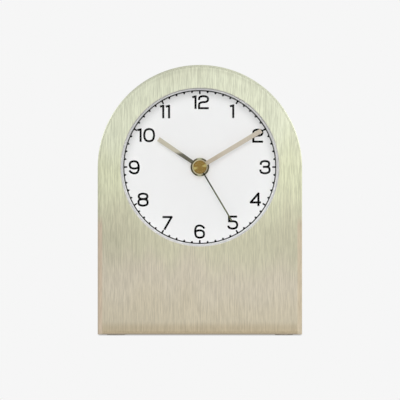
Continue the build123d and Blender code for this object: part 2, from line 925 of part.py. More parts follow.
def intermediate_wheel():
    """Wheel driven by the rotor, with the pinion that drives the seconds wheel."""
    wheel = at(intermediate_axis) * spoked(intermediate_teeth, rotor_module, 0)
    pinion = at(intermediate_axis) * toothed(intermediate_pinion_teeth, intermediate_module, 0)
    return (
        slab(wheel, intermediate_front, intermediate_back)
        + slab(pinion, seconds_front - pinion_proud, intermediate_front)
        + rod(
            intermediate_axis,
            arbor_radius,
            plate_front + pinion_proud,
            magnet_front + pivot_depth - pinion_proud,
        )
    )


def seconds_wheel():
    """Seconds wheel and pinion on the long arbor that carries the seconds hand."""
    wheel = at(hand_axis) * spoked(seconds_teeth, intermediate_module, seconds_phase)
    pinion = at(hand_axis) * toothed(seconds_pinion_teeth, seconds_module, seconds_pinion_phase)
    arbor_back = intermediate_back + layer_gap * 2 + pivot_depth - pinion_proud
    return (
        slab(wheel, seconds_front, seconds_back)
        + slab(pinion, third_front - pinion_proud, third_back + pinion_proud)
        + rod(hand_axis, seconds_arbor_radius, seconds_arbor_front, arbor_back)
    )


def third_wheel():
    """Third wheel and its pinion."""
    wheel = at(third_axis) * spoked(third_teeth, seconds_module, third_phase)
    pinion = at(third_axis) * toothed(third_pinion_teeth, third_module, 0)
    arbor_front = centre_front - layer_gap - pinion_proud - pivot_depth + pinion_proud
    return (
        slab(wheel, third_front, third_back)
        + slab(pinion, centre_front - pinion_proud, third_front)
        + rod(third_axis, arbor_radius, arbor_front, plate_back - pinion_proud)
    )


def centre_wheel():
    """Wheel that turns the minute tube through its clutch."""
    bore = Circle(minute_neck_radius + running_gap)
    wheel = spoked(centre_teeth, third_module, centre_phase) - bore
    return slab(at(hand_axis) * wheel, centre_front, centre_back)


def clutch_spring():
    """Three-armed spring washer of the clutch."""
    arms = Circle(minute_neck_radius + wheel_rim / 2)
    for arm in range(spoke_count - 1):
        arms += Rot(0, 0, arm * 360 / (spoke_count - 1)) * Rectangle(
            spoke_width, clutch_radius, align=(Align.CENTER, Align.MIN)
        )
    arms -= Circle(minute_neck_radius + running_gap)
    return slab(at(hand_axis) * arms, centre_back, clutch_back)


def minute_tube():
    """Tube that carries the minute hand, with the minute pinion behind."""
    bore = seconds_arbor_radius + running_gap
    pinion = toothed(minute_pinion_teeth, minute_module, 0) - Circle(bore)
    return (
        pipe(hand_axis, minute_tube_radius, bore, minute_tube_front, hour_back + layer_gap / 2)
        + slab(at(hand_axis) * pinion, hour_back + layer_gap / 2, minute_back + pinion_proud)
        + pipe(hand_axis, minute_neck_radius, bore, minute_back + pinion_proud, neck_back)
    )


def minute_wheel():
    """Reduction wheel and pinion between the minute tube and the hour wheel."""
    bore = minute_post_radius + running_gap
    wheel = spoked(minute_wheel_teeth, minute_module, minute_wheel_phase) - Circle(bore)
    pinion = toothed(hour_pinion_teeth, hour_module, 0) - Circle(bore)
    return slab(at(minute_wheel_axis) * wheel, minute_front, minute_back) + slab(
        at(minute_wheel_axis) * pinion, hour_front - pinion_proud / 2, minute_front
    )


def hour_wheel():
    """Hour wheel with the tube that carries the hour hand."""
    bore = minute_tube_radius + running_gap
    wheel = toothed(hour_teeth, hour_module, hour_phase) - Circle(bore)
    return slab(at(hand_axis) * wheel, hour_front, hour_back) + pipe(
        hand_axis, hour_tube_radius, bore, hour_tube_front, hour_front
    )


def setting_arbor():
    """Arbor with the pinion that turns the minute wheel."""
    pinion = toothed(setting_teeth, minute_module, setting_phase)
    return (
        rod(setting_axis, setting_pin_radius, bay_front + running_gap, minute_front - pinion_proud)
        + slab(at(setting_axis) * pinion, minute_front - pinion_proud, minute_back + pinion_proud)
        + rod(setting_axis, setting_arbor_radius, minute_back + pinion_proud, knob_back - knob_edge)
    )


knob_front = movement_back + knob_gap
knob_back = knob_front + knob_length


def setting_knob():
    """Fluted knob pressed on the arbor's rear end."""
    corners = []
    for flute in range(knob_flutes):
        for share, radius in zip(flute_shares, (knob_radius, knob_radius, knob_radius - flute_depth)):
            corners.append(beside((0, 0), radius, (flute + share) * 360 / knob_flutes))
    grip = make_face(Polyline(*corners, close=True))
    knob = slab(at(setting_axis) * grip, knob_front, knob_back - knob_edge)
    knob += rod(setting_axis, knob_radius - flute_depth - knob_edge, knob_back - knob_edge, knob_back)
    socket = rod(setting_axis, setting_arbor_radius + press_gap, knob_front, knob_back - knob_edge)
    return knob - socket


# Hands


def blade(reach, root_width, tip_width, turn):
    """Flat hand blade from the axis outwards, widening to its square tip."""
    corners = [
        (-root_width / 2, 0),
        (root_width / 2, 0),
        (tip_width / 2, reach),
        (-tip_width / 2, reach),
    ]
    return Rot(0, 0, -turn) * make_face(Polyline(*corners, close=True))


def hour_hand():
    """Hour hand with its round hub and a collar on the hour tube."""
    bore = hour_tube_radius + press_gap
    outline = blade(hour_reach, hour_root_width, hour_tip_width, hour_hand_angle)
    outline = outline + Circle(hour_hub_radius) - Circle(bore)
    collar_back = bush_front - collar_gap_hand
    return slab(at(hand_axis) * outline, hour_hand_front, hour_hand_back) + pipe(
        hand_axis, bore + collar_wall_hand, bore, hour_hand_back, collar_back
    )


def minute_hand():
    """Minute hand with its round hub and a collar on the minute tube."""
    bore = minute_tube_radius + press_gap
    outline = blade(minute_reach, minute_root_width, minute_tip_width, minute_hand_angle)
    outline = outline + Circle(minute_hub_radius) - Circle(bore)
    collar_back = hour_tube_front - collar_gap_hand
    return slab(at(hand_axis) * outline, minute_hand_front, minute_hand_back) + pipe(
        hand_axis, bore + collar_wall_hand, bore, minute_hand_back, collar_back
    )


def seconds_hand():
    """Thin seconds hand with its hub on the long arbor."""
    bore = seconds_arbor_radius + press_gap
    outline = blade(seconds_reach, seconds_width, seconds_width, seconds_hand_angle)
    outline = outline + Circle(seconds_hub_radius) - Circle(bore)
    collar_back = minute_tube_front - collar_gap_hand
    return slab(at(hand_axis) * outline, seconds_hand_front, seconds_hand_back) + pipe(
        hand_axis, bore + collar_wall_hand, bore, seconds_hand_back, collar_back
    )


def seconds_cap():
    """Brass cap over the hands' hub, slightly crowned."""
    bore = seconds_arbor_radius + press_gap
    crown = cap_front + cap_flat
    cap = turned(
        [
            (0, cap_front),
            (cap_radius - cap_flat, cap_front),
            (cap_radius, crown),
            (cap_radius, seconds_hand_front),
            (0, seconds_hand_front),
        ]
    )
    return cap - rod(hand_axis, bore, seconds_arbor_front, seconds_hand_front)


pieces = (
    front_fascia,
    case_band,
    lens,
    lens_ring,
    dial_plate,
    inner_frame,
    rear_cover,
    rear_cover_screws,
    base_plate,
    base_plate_screws,
    foot_pads,
    movement_front_case,
    movement_rear_case,
    middle_plate,
    threaded_bush,
    ring_nut,
    mounting_washer,
    stator,
    coil_core,
    coil_bobbin,
    coil_winding,
    motor_screws,
    circuit_board,
    quartz_crystal,
    driver_chip,
    positive_contact,
    negative_contact,
    battery_cell,
    rotor_magnet,
    rotor_pinion,
    intermediate_wheel,
    seconds_wheel,
    third_wheel,
    centre_wheel,
    clutch_spring,
    minute_tube,
    minute_wheel,
    hour_wheel,
    setting_arbor,
    setting_knob,
    hour_hand,
    minute_hand,
    seconds_hand,
    seconds_cap,
)

os.makedirs("parts", exist_ok=True)
for piece in pieces:
    write(piece.__name__, piece())
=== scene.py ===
"""Looks of the arch-topped mantel clock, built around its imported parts.

Lengths are in metres in the parts' own frame: +X to the right seen from the front,
+Y to the rear and +Z up, with the origin on the table under the middle of the case.
"""

from __future__ import annotations

import logging
import math
from collections.abc import Callable, Iterable
from dataclasses import dataclass
from enum import Enum

import bmesh
import bpy
from mathutils import Matrix, Vector

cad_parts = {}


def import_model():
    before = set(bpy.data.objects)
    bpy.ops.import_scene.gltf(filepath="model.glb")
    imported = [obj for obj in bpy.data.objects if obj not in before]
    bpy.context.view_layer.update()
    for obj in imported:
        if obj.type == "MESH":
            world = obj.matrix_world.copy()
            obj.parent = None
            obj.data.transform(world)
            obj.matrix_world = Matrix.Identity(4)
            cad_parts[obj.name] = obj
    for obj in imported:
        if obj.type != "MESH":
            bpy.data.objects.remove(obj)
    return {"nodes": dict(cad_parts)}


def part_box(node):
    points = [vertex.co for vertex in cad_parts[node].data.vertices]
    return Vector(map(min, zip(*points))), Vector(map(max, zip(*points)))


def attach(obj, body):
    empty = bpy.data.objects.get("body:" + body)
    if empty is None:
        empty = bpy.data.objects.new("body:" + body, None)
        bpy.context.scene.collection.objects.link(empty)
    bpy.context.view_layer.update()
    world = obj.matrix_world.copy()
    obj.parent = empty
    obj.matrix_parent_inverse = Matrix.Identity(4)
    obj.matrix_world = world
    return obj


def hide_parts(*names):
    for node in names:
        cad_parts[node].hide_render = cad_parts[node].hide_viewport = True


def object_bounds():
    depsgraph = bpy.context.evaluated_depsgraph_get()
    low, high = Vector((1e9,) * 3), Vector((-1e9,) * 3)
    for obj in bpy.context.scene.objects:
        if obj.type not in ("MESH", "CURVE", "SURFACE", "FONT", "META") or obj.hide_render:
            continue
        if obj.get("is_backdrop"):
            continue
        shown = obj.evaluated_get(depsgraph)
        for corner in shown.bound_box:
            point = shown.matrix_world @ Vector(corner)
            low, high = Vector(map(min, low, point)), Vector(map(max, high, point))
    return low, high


LOG = logging.getLogger("mantel_clock")
MM = 0.001
DEPTH_AXIS = Vector((0, 1, 0))

# Height of the hands' axis, about which the dial, the window and the arch are struck.
AXIS_HEIGHT = 93.85 * MM
# An edge that bends more than this is drawn sharp.
SHARP_ANGLE = math.radians(35)

Colour = tuple[int, int, int]
Socket = bpy.types.NodeSocket


def linear(colour: Colour) -> tuple[float, float, float, float]:
    """Turns display levels into the linear colour that a shader takes.

    Args:
        colour: Red, green and blue from 0 to 255, as they look on a screen.

    Returns:
        Linear red, green, blue and an alpha of one.
    """
    levels = [level / 255 for level in colour]
    curve = [s / 12.92 if s <= 0.04045 else ((s + 0.055) / 1.055) ** 2.4 for s in levels]
    return (*curve, 1.0)


class Canvas:
    """Adds and links nodes in one node tree with short calls."""

    def __init__(self, tree: bpy.types.NodeTree) -> None:
        """Starts on an emptied node tree.

        Args:
            tree: The material's, world's or group's node tree.
        """
        self.tree = tree
        tree.nodes.clear()

    def add(self, kind: str, sockets: dict | None = None, **settings: object) -> bpy.types.Node:
        """Adds one node.

        Args:
            kind: The node's type, without the leading ShaderNode.
            sockets: Input name or number to a value, or to a socket that is linked there.
            settings: The node's own properties.

        Returns:
            The new node.
        """
        node = self.tree.nodes.new(kind if kind.startswith("Node") else "ShaderNode" + kind)
        for name, value in settings.items():
            setattr(node, name, value)
        for name, value in (sockets or {}).items():
            if isinstance(value, bpy.types.NodeSocket):
                self.tree.links.new(value, node.inputs[name])
            else:
                node.inputs[name].default_value = value
        return node

    def math(self, operation: str, first: Socket | float, second: Socket | float = 0.0) -> Socket:
        """Adds one step of reckoning.

        Args:
            operation: The Math node's operation.
            first: Value or socket.
            second: Value or socket, where the operation takes two.

        Returns:
            The result's socket.
        """
        return self.add("Math", {0: first, 1: second}, operation=operation).outputs[0]

    def spread(
        self, value: Socket, source: tuple[float, float], target: tuple[float, float] = (0.0, 1.0)
    ) -> Socket:
        """Maps one range of a value on another, smoothly and clamped.

        Args:
            value: The value's socket.
            source: Range that is read.
            target: Range that is given.

        Returns:
            The result's socket.
        """
        sockets = {"Value": value, 1: source[0], 2: source[1], 3: target[0], 4: target[1]}
        return self.add("MapRange", sockets, interpolation_type="SMOOTHSTEP").outputs[0]

    def blend(self, share: Socket | float, first: object, second: object) -> Socket:
        """Mixes two colours.

        Args:
            share: How much of the second colour there is.
            first: Colour or socket.
            second: Colour or socket.

        Returns:
            The mixed colour's socket.
        """
        node = self.add("Mix", {0: share, 6: first, 7: second}, data_type="RGBA")
        return node.outputs[2]

    def noise(self, place: Socket, scale: Vector | tuple, detail: float = 3.0) -> Socket:
        """Adds noise with its own scale along each axis.

        Args:
            place: The place that is looked up.
            scale: Cells per metre along X, Y and Z.
            detail: Octaves of finer noise.

        Returns:
            The noise's value from 0 to 1.
        """
        mapping = self.add("Mapping", {"Vector": place, "Scale": scale})
        sockets = {"Vector": mapping.outputs[0], "Scale": 1.0, "Detail": detail}
        return self.add("TexNoise", sockets).outputs[0]

    def own_place(self) -> Socket:
        """Gives the place in the piece's own coordinates."""
        return self.add("TexCoord").outputs["Object"]

    def split(self, place: Socket) -> bpy.types.bpy_prop_collection:
        """Gives the sockets of a place along X, Y and Z."""
        return self.add("SeparateXYZ", {0: place}).outputs

    def scale(self, value: object, factor: Socket) -> Socket:
        """Scales a place or a colour.

        Args:
            value: Socket, or the three numbers that a vector input takes.
            factor: What it is multiplied by.

        Returns:
            The result's socket.
        """
        return self.add("VectorMath", {0: value, 3: factor}, operation="SCALE").outputs[0]

    def distance(self, across: Socket, up: Socket) -> Socket:
        """Gives the distance from the Y axis of a place along X and Z."""
        flat = self.add("CombineXYZ", {0: across, 2: up}).outputs[0]
        return self.add("VectorMath", {0: flat}, operation="LENGTH").outputs["Value"]

    def from_axis(self, place: Socket) -> Socket:
        """Gives a place as counted from the hands' axis."""
        sockets = {0: place, 1: (0.0, 0.0, AXIS_HEIGHT)}
        return self.add("VectorMath", sockets, operation="SUBTRACT").outputs[0]

    def round_axis(self, place: Socket) -> tuple[Socket, Socket]:
        """Gives a place's distance from the hands' axis, and its height over it."""
        across, _, up = self.split(self.from_axis(place))
        return self.distance(across, up), up


def moulded_grain(canvas: Canvas, place: Socket, cell: Socket) -> tuple[Socket, Socket]:
    """Adds the fine grain of a spark-eroded mould, in cells of one size.

    Args:
        canvas: The group's canvas.
        place: The place that is looked up.
        cell: Size of a cell.

    Returns:
        The tone and the height.
    """
    scaled = canvas.scale(place, canvas.math("DIVIDE", 1.0, cell))
    fine = canvas.noise(scaled, (1, 1, 1), 2.0)
    broad = canvas.noise(scaled, (0.06, 0.06, 0.06), 2.0)
    small, large = canvas.math("MULTIPLY", fine, 0.4), canvas.math("MULTIPLY", broad, 0.6)
    return canvas.math("ADD", small, large), fine


def brushed_lines(canvas: Canvas, place: Socket, cell: Socket) -> tuple[Socket, Socket]:
    """Adds brush lines that run along Z, with short scratches between long ones.

    Args:
        canvas: The group's canvas.
        place: The place that is looked up.
        cell: Size of a cell across the lines.

    Returns:
        The tone and the height.
    """
    scaled = canvas.scale(place, canvas.math("DIVIDE", 1.0, cell))
    fine = canvas.noise(scaled, (1.15, 1.15, 0.07))
    long = canvas.noise(scaled, (0.8, 0.8, 0.012))
    short_share, long_share = canvas.math("MULTIPLY", fine, 0.6), canvas.math("MULTIPLY", long, 0.4)
    return canvas.spread(canvas.math("ADD", short_share, long_share), (0.3, 0.7)), fine


def turned_rings(canvas: Canvas, place: Socket, cell: Socket) -> tuple[Socket, Socket]:
    """Adds fine rings about the Y axis, as a lathe tool leaves them.

    Args:
        canvas: The group's canvas.
        place: The place that is looked up.
        cell: Width of a ring.

    Returns:
        The tone and the height, which are one.
    """
    across, _, up = canvas.split(place)
    rings = canvas.math("DIVIDE", canvas.distance(across, up), cell)
    sockets = {"W": rings, "Scale": 1.0, "Detail": 2.0}
    value = canvas.add("TexNoise", sockets, noise_dimensions="1D").outputs[0]
    return value, value


def pattern_group(
    draw: Callable[[Canvas, Socket, Socket], tuple[Socket, Socket]],
) -> bpy.types.NodeTree:
    """Makes the shared node group of a pattern, once.

    Args:
        draw: The function that adds the pattern's nodes. The group gets its name.

    Returns:
        The shared group.
    """
    name = draw.__name__
    if name not in bpy.data.node_groups:
        group = bpy.data.node_groups.new(name, "ShaderNodeTree")
        for label, direction, kind in (
            ("Place", "INPUT", "NodeSocketVector"),
            ("Cell", "INPUT", "NodeSocketFloat"),
            ("Tone", "OUTPUT", "NodeSocketFloat"),
            ("Height", "OUTPUT", "NodeSocketFloat"),
        ):
            group.interface.new_socket(label, in_out=direction, socket_type=kind)
        canvas = Canvas(group)
        given = canvas.add("NodeGroupInput").outputs
        tone, height = draw(canvas, given["Place"], given["Cell"])
        canvas.add("NodeGroupOutput", {"Tone": tone, "Height": height})
    return bpy.data.node_groups[name]


@dataclass(frozen=True)
class Finish:
    """A finish with a fine pattern in its tone, its roughness and its relief.

    The plain form is a moulded or painted surface.
    """

    name: str
    colour: Colour
    roughness: float
    metallic: float = 0.0
    cell: float = 0.35 * MM
    tone_share: float = 0.05
    rough_share: float = 0.12
    relief: float = 0.004 * MM
    anisotropy: float = 0.0
    coat: float = 0.0
    specular: float = 0.5

    def place(self, canvas: Canvas) -> Socket:
        """Gives the place that the pattern is looked up at.

        Args:
            canvas: The material's canvas.

        Returns:
            The place's socket, in the piece's own coordinates.
        """
        return canvas.own_place()

    def pattern(self, canvas: Canvas, place: Socket) -> tuple[Socket, Socket]:
        """Adds the finish's pattern.

        Args:
            canvas: The material's canvas.
            place: The place that it is looked up at.

        Returns:
            The tone and the height, from 0 to 1.
        """
        node = canvas.add("Group", node_tree=self.group())
        canvas.tree.links.new(place, node.inputs["Place"])
        node.inputs["Cell"].default_value = self.cell
        return node.outputs["Tone"], node.outputs["Height"]

    def group(self) -> bpy.types.NodeTree:
        """Gives the shared group that holds the pattern."""
        return pattern_group(moulded_grain)

    def tint(self, canvas: Canvas) -> object:
        """Gives the colour before the pattern's tone, as a colour or a socket."""
        return linear(self.colour)

    def finish_shader(self, canvas: Canvas, shader: bpy.types.Node) -> None:
        """Adds what only this finish has. The plain one has nothing more."""

    def build(self) -> bpy.types.Material:
        """Makes the material, once.

        Returns:
            The material.
        """
        label = f"{self.name}_finish"
        if label in bpy.data.materials:
            return bpy.data.materials[label]
        material = bpy.data.materials.new(label)
        material.use_nodes = True
        canvas = Canvas(material.node_tree)
        place = self.place(canvas)
        tone, height = self.pattern(canvas, place)
        level = canvas.spread(tone, (0.0, 1.0), (1 - self.tone_share, 1 + self.tone_share))
        low = max(self.roughness * (1 - self.rough_share), 0.02)
        high = min(self.roughness * (1 + self.rough_share), 1.0)
        rough = canvas.spread(tone, (0.0, 1.0), (low, high))
        bump = canvas.add("Bump", {"Height": height, "Distance": self.relief, "Strength": 1.0})
        shader = canvas.add(
            "BsdfPrincipled",
            {
                "Base Color": canvas.scale(self.tint_vector(canvas), level),
                "Roughness": rough,
                "Metallic": self.metallic,
                "Normal": bump.outputs[0],
                "Anisotropic": self.anisotropy,
                "Coat Weight": self.coat,
                "Specular IOR Level": self.specular,
            },
        )
        self.finish_shader(canvas, shader)
        canvas.add("OutputMaterial", {"Surface": shader.outputs[0]})
        material.diffuse_color = linear(self.colour)
        return material

    def tint_vector(self, canvas: Canvas) -> object:
        """Gives the tint as a socket, or as the three numbers that a vector input takes."""
        tint = self.tint(canvas)
        return tint if isinstance(tint, bpy.types.NodeSocket) else tint[:3]


@dataclass(frozen=True)
class Brushed(Finish):
    """Metal brushed along Z."""

    metallic: float = 1.0
    cell: float = 0.45 * MM
    relief: float = 0.0015 * MM
    anisotropy: float = 0.5

    def group(self) -> bpy.types.NodeTree:
        """Gives the brush lines."""
        return pattern_group(brushed_lines)


@dataclass(frozen=True)
class ToneStop:
    """One painted reflection tone of the front and the height at which it stands."""

    height: float
    colour: Colour


@dataclass(frozen=True)
class ChampagneFront(Brushed):
    """Anodised front with painted reflections: its tone drifts from green gold at the top
    to warm beige below, with painted shade just above the floor.

    It has painted light on the right and painted shade beside the waist, and the brush lines
    are stronger higher up. The rolled edge has painted reflections of its own, with painted
    shade over the arch's bend and on the left rim; the window's bevel has painted shade
    above and painted light below.
    """

    half_width: float = 57.0 * MM
    # Painted reflections over the anodised tone, with painted shade in the lowest stops just above
    # the floor.
    stops: tuple[ToneStop, ...] = (
        ToneStop(0.8 * MM, (172, 158, 138)),
        ToneStop(1.5 * MM, (193, 178, 149)),
        ToneStop(4.2 * MM, (190, 178, 153)),
        ToneStop(8.5 * MM, (202, 193, 171)),
        ToneStop(32.0 * MM, (204, 196, 177)),
        ToneStop(54.0 * MM, (201, 198, 173)),
        ToneStop(92.0 * MM, (213, 215, 185)),
        ToneStop(118.0 * MM, (219, 222, 198)),
        ToneStop(138.0 * MM, (215, 218, 195)),
        ToneStop(149.0 * MM, (211, 213, 190)),
    )
    drift_cells: tuple[float, float, float] = (45, 45, 12)
    drift_reach: float = 7 * MM
    drift_heights: tuple[float, float] = (8 * MM, 20 * MM)
    # Painted light on the right, stronger higher up, and painted shade beside the waist towards the
    # sides.
    right_share: float = 0.04
    right_heights: tuple[float, float] = (20 * MM, 120 * MM)
    right_factors: tuple[float, float] = (0.4, 1.8)
    waist_share: float = 0.09
    waist_height: float = 52.0 * MM
    waist_reach: float = 26.0 * MM
    calm_height: float = 45.0 * MM
    calm_share: float = 0.62
    # Painted reflections on the rolled edge, left and right below the arch.
    roll_radii: tuple[float, float] = (53.9 * MM, 54.9 * MM)
    roll_heights: tuple[float, float] = (60.0 * MM, 68.0 * MM)
    roll_depths: tuple[float, float] = (-19.9 * MM, -18.9 * MM)
    roll_half_border: float = 10 * MM
    roll_left_colour: Colour = (203, 187, 166)
    roll_right_colour: Colour = (209, 196, 171)
    # Painted shade over the arch's bend and on the left rim.
    arch_radii: tuple[float, float] = (52.8 * MM, 54.4 * MM)
    arch_back: float = 55.6 * MM
    arch_share: float = 0.08
    rim_start: float = 56.0 * MM
    rim_share: float = 0.2
    # Painted shade on the upper part of the window's bevel and painted light on its lower part.
    window_radii: tuple[float, float] = (44.25 * MM, 44.45 * MM)
    window_colour: Colour = (217, 217, 203)
    window_low_colour: Colour = (240, 238, 230)

    def pattern(self, canvas: Canvas, place: Socket) -> tuple[Socket, Socket]:
        """Adds the brush lines, calmer on the lower part.

        Args:
            canvas: The material's canvas.
            place: The place that it is looked up at.

        Returns:
            The tone and the height, from 0 to 1.
        """
        tone, height = super().pattern(canvas, place)
        heights = (self.calm_height, 2 * self.calm_height)
        share = canvas.spread(canvas.split(place)[2], heights, (self.calm_share, 1.0))
        away = canvas.math("MULTIPLY", canvas.math("SUBTRACT", tone, 0.5), share)
        return canvas.math("ADD", away, 0.5), height

    def ramp(self, canvas: Canvas, height: Socket) -> Socket:
        """Mixes the painted reflection tones up the height.

        Args:
            canvas: The material's canvas.
            height: The height that is looked up.

        Returns:
            The colour's socket.
        """
        colour: object = linear(self.stops[0].colour)
        for below, stop in zip(self.stops, self.stops[1:]):
            share = canvas.spread(height, (below.height, stop.height))
            colour = canvas.blend(share, colour, linear(stop.colour))
        return colour

    def drifted(self, canvas: Canvas, place: Socket, up: Socket) -> Socket:
        """Gives the height that the tone is looked up at, moved a little by broad noise.

        Args:
            canvas: The material's canvas.
            place: The place on the front.
            up: Its height.

        Returns:
            The height's socket.
        """
        drift = canvas.noise(place, self.drift_cells, 2.0)
        wave = canvas.spread(drift, (0.3, 0.7), (-self.drift_reach, self.drift_reach))
        calm = canvas.spread(up, self.drift_heights)
        return canvas.math("ADD", up, canvas.math("MULTIPLY", wave, calm))

    def face_level(self, canvas: Canvas, across: Socket, up: Socket) -> Socket:
        """Gives how light the face is: painted light on the right, and painted shade beside the
        waist.

        Args:
            canvas: The material's canvas.
            across: The place along X.
            up: The place along Z.

        Returns:
            The level's socket.
        """
        lean = canvas.spread(up, self.right_heights, self.right_factors)
        right_light_slope = canvas.math("MULTIPLY", across, self.right_share / self.half_width)
        tilted = canvas.math("ADD", canvas.math("MULTIPLY", right_light_slope, lean), 1.0)
        away = canvas.math("ABSOLUTE", canvas.math("SUBTRACT", up, self.waist_height))
        near = canvas.spread(away, (0.0, self.waist_reach), (self.waist_share, 0.0))
        side = canvas.math("ABSOLUTE", across)
        outer = canvas.spread(side, (0.3 * self.half_width, 0.9 * self.half_width))
        return canvas.math("SUBTRACT", tilted, canvas.math("MULTIPLY", near, outer))

    def rolled(self, canvas: Canvas, colour: Socket, place: Socket, reach: Socket) -> Socket:
        """Lays the painted reflections of the rolled edge over the front, left and right below the
        arch.

        Args:
            canvas: The material's canvas.
            colour: The colour beneath.
            place: The place on the front.
            reach: How far it is from the middle line, or from the axis above that.

        Returns:
            The colour's socket.
        """
        across, depth, up = canvas.split(place)
        share = canvas.spread(reach, self.roll_radii)
        share = canvas.math("MULTIPLY", share, canvas.spread(up, self.roll_heights, (1.0, 0.0)))
        share = canvas.math("MULTIPLY", share, canvas.spread(depth, self.roll_depths, (1.0, 0.0)))
        right = canvas.spread(across, (-self.roll_half_border, self.roll_half_border))
        tone = canvas.blend(right, linear(self.roll_left_colour), linear(self.roll_right_colour))
        return canvas.blend(share, colour, tone)

    def edge_level(self, canvas: Canvas, across: Socket, above: Socket, reach: Socket) -> Socket:
        """Gives how light the edge is: painted shade over the arch's bend and on the left rim.

        Args:
            canvas: The material's canvas.
            across: The place along X.
            above: How far it is above the axis.
            reach: How far it is from the middle line, or from the axis above that.

        Returns:
            The level's socket.
        """
        half = self.half_width
        bend = canvas.spread(reach, self.arch_radii, (0.0, self.arch_share))
        back = canvas.spread(reach, (self.arch_back, half), (0.0, self.arch_share))
        arch = canvas.spread(above, (0.5 * half, 0.9 * half))
        arch_shade = canvas.math("MULTIPLY", canvas.math("SUBTRACT", bend, back), arch)
        rim = canvas.spread(reach, (self.rim_start, half), (0.0, self.rim_share))
        left = canvas.spread(across, (-0.5 * half, 0.5 * half), (1.0, 0.0))
        dark = canvas.math("ADD", arch_shade, canvas.math("MULTIPLY", rim, left))
        return canvas.math("SUBTRACT", 1.0, dark)

    def bevelled(self, canvas: Canvas, colour: Socket, place: Socket) -> Socket:
        """Lays the window's bevel over the front, with painted shade above and painted light below.

        Args:
            canvas: The material's canvas.
            colour: The colour beneath.
            place: The place on the front.

        Returns:
            The colour's socket.
        """
        radius, up = canvas.round_axis(place)
        inner = self.window_radii[0]
        upper = canvas.spread(up, (-0.6 * inner, 0.2 * inner))
        tone = canvas.blend(upper, linear(self.window_low_colour), linear(self.window_colour))
        return canvas.blend(canvas.spread(radius, self.window_radii, (1.0, 0.0)), colour, tone)

    def tint(self, canvas: Canvas) -> Socket:
        """Mixes the painted reflections up the height, the painted light and shade across the
        width, the painted reflections and shade at the edge and the painted light and shade in the
        window.

        Args:
            canvas: The material's canvas.

        Returns:
            The colour's socket.
        """
        place = self.place(canvas)
        across, _, up = canvas.split(place)
        above = canvas.math("MAXIMUM", canvas.math("SUBTRACT", up, AXIS_HEIGHT), 0.0)
        reach = canvas.distance(across, above)
        colour = self.ramp(canvas, self.drifted(canvas, place, up))
        colour = canvas.scale(colour, self.face_level(canvas, across, up))
        colour = self.rolled(canvas, colour, place, reach)
        colour = canvas.scale(colour, self.edge_level(canvas, across, above, reach))
        return self.bevelled(canvas, colour, place)


@dataclass(frozen=True)
class ChampagneBand(Brushed):
    """Anodised strip, brushed along its length up one side, over the arch and down the other."""

    radius: float = 57.0 * MM

    def place(self, canvas: Canvas) -> Socket:
        """Unrolls the strip, so that the brush lines follow it.

        Args:
            canvas: The material's canvas.

        Returns:
            The place on the unrolled strip, with its length along Z.
        """
        across, depth, up = canvas.split(canvas.own_place())
        above = canvas.math("MAXIMUM", canvas.math("SUBTRACT", up, AXIS_HEIGHT), 0.0)
        below = canvas.math("MAXIMUM", canvas.math("SUBTRACT", AXIS_HEIGHT, up), 0.0)
        turn = canvas.math("MULTIPLY", canvas.math("ARCTAN2", across, above), self.radius)
        leg = canvas.math("MULTIPLY", canvas.math("SIGN", across), below)
        return canvas.add("CombineXYZ", {1: depth, 2: canvas.math("ADD", turn, leg)}).outputs[0]


@dataclass(frozen=True)
class Fan:
    """Two rays of painted sheen, painted highlights on metal that was turned about the hands' axis.
    """

    colour: Colour
    clock_angles: tuple[float, float]
    spread_cosine: float = 0.9
    fade: tuple[float, float] = (0.4 * MM, 2.4 * MM)

    def lay(self, canvas: Canvas, place: Socket, colour: object) -> Socket:
        """Lays the painted highlights over a colour.

        Args:
            canvas: The material's canvas.
            place: The place from the axis.
            colour: The colour beneath.

        Returns:
            The colour's socket.
        """
        flat = canvas.add("VectorMath", {0: place, 1: (1, 0, 1)}, operation="MULTIPLY").outputs[0]
        unit = canvas.add("VectorMath", {0: flat}, operation="NORMALIZE").outputs[0]
        rays = []
        for angle in self.clock_angles:
            way = (math.sin(math.radians(angle)), 0.0, math.cos(math.radians(angle)))
            along = canvas.add("VectorMath", {0: unit, 1: way}, operation="DOT_PRODUCT")
            rays.append(canvas.spread(along.outputs["Value"], (self.spread_cosine, 1.0)))
        radius = canvas.add("VectorMath", {0: flat}, operation="LENGTH").outputs["Value"]
        away = canvas.spread(radius, self.fade)
        share = canvas.math("MULTIPLY", canvas.math("MAXIMUM", *rays), away)
        return canvas.blend(share, colour, linear(self.colour))


@dataclass(frozen=True)
class Spun(Finish):
    """Metal turned on a lathe about the hands' axis, with a sheen that fans out, and painted
    highlights where it is given a painted sheen.
    """

    metallic: float = 1.0
    cell: float = 0.12 * MM
    relief: float = 0.002 * MM
    anisotropy: float = 0.8
    fan: Fan | None = None

    def group(self) -> bpy.types.NodeTree:
        """Gives the tool's rings."""
        return pattern_group(turned_rings)

    def place(self, canvas: Canvas) -> Socket:
        """Gives the place as counted from the centre of the rings."""
        return canvas.from_axis(canvas.own_place())

    def tint(self, canvas: Canvas) -> object:
        """Gives the colour, with the painted highlights laid over it.

        Args:
            canvas: The material's canvas.

        Returns:
            The colour or its socket.
        """
        colour = linear(self.colour)
        return self.fan.lay(canvas, self.place(canvas), colour) if self.fan else colour

    def finish_shader(self, canvas: Canvas, shader: bpy.types.Node) -> None:
        """Turns the sheen so that it spreads across the rings.

        Args:
            canvas: The material's canvas.
            shader: The material's shader.
        """
        tangent = canvas.add("Tangent", direction_type="RADIAL", axis="Y")
        shader.inputs["Anisotropic Rotation"].default_value = 0.25
        canvas.tree.links.new(tangent.outputs[0], shader.inputs["Tangent"])


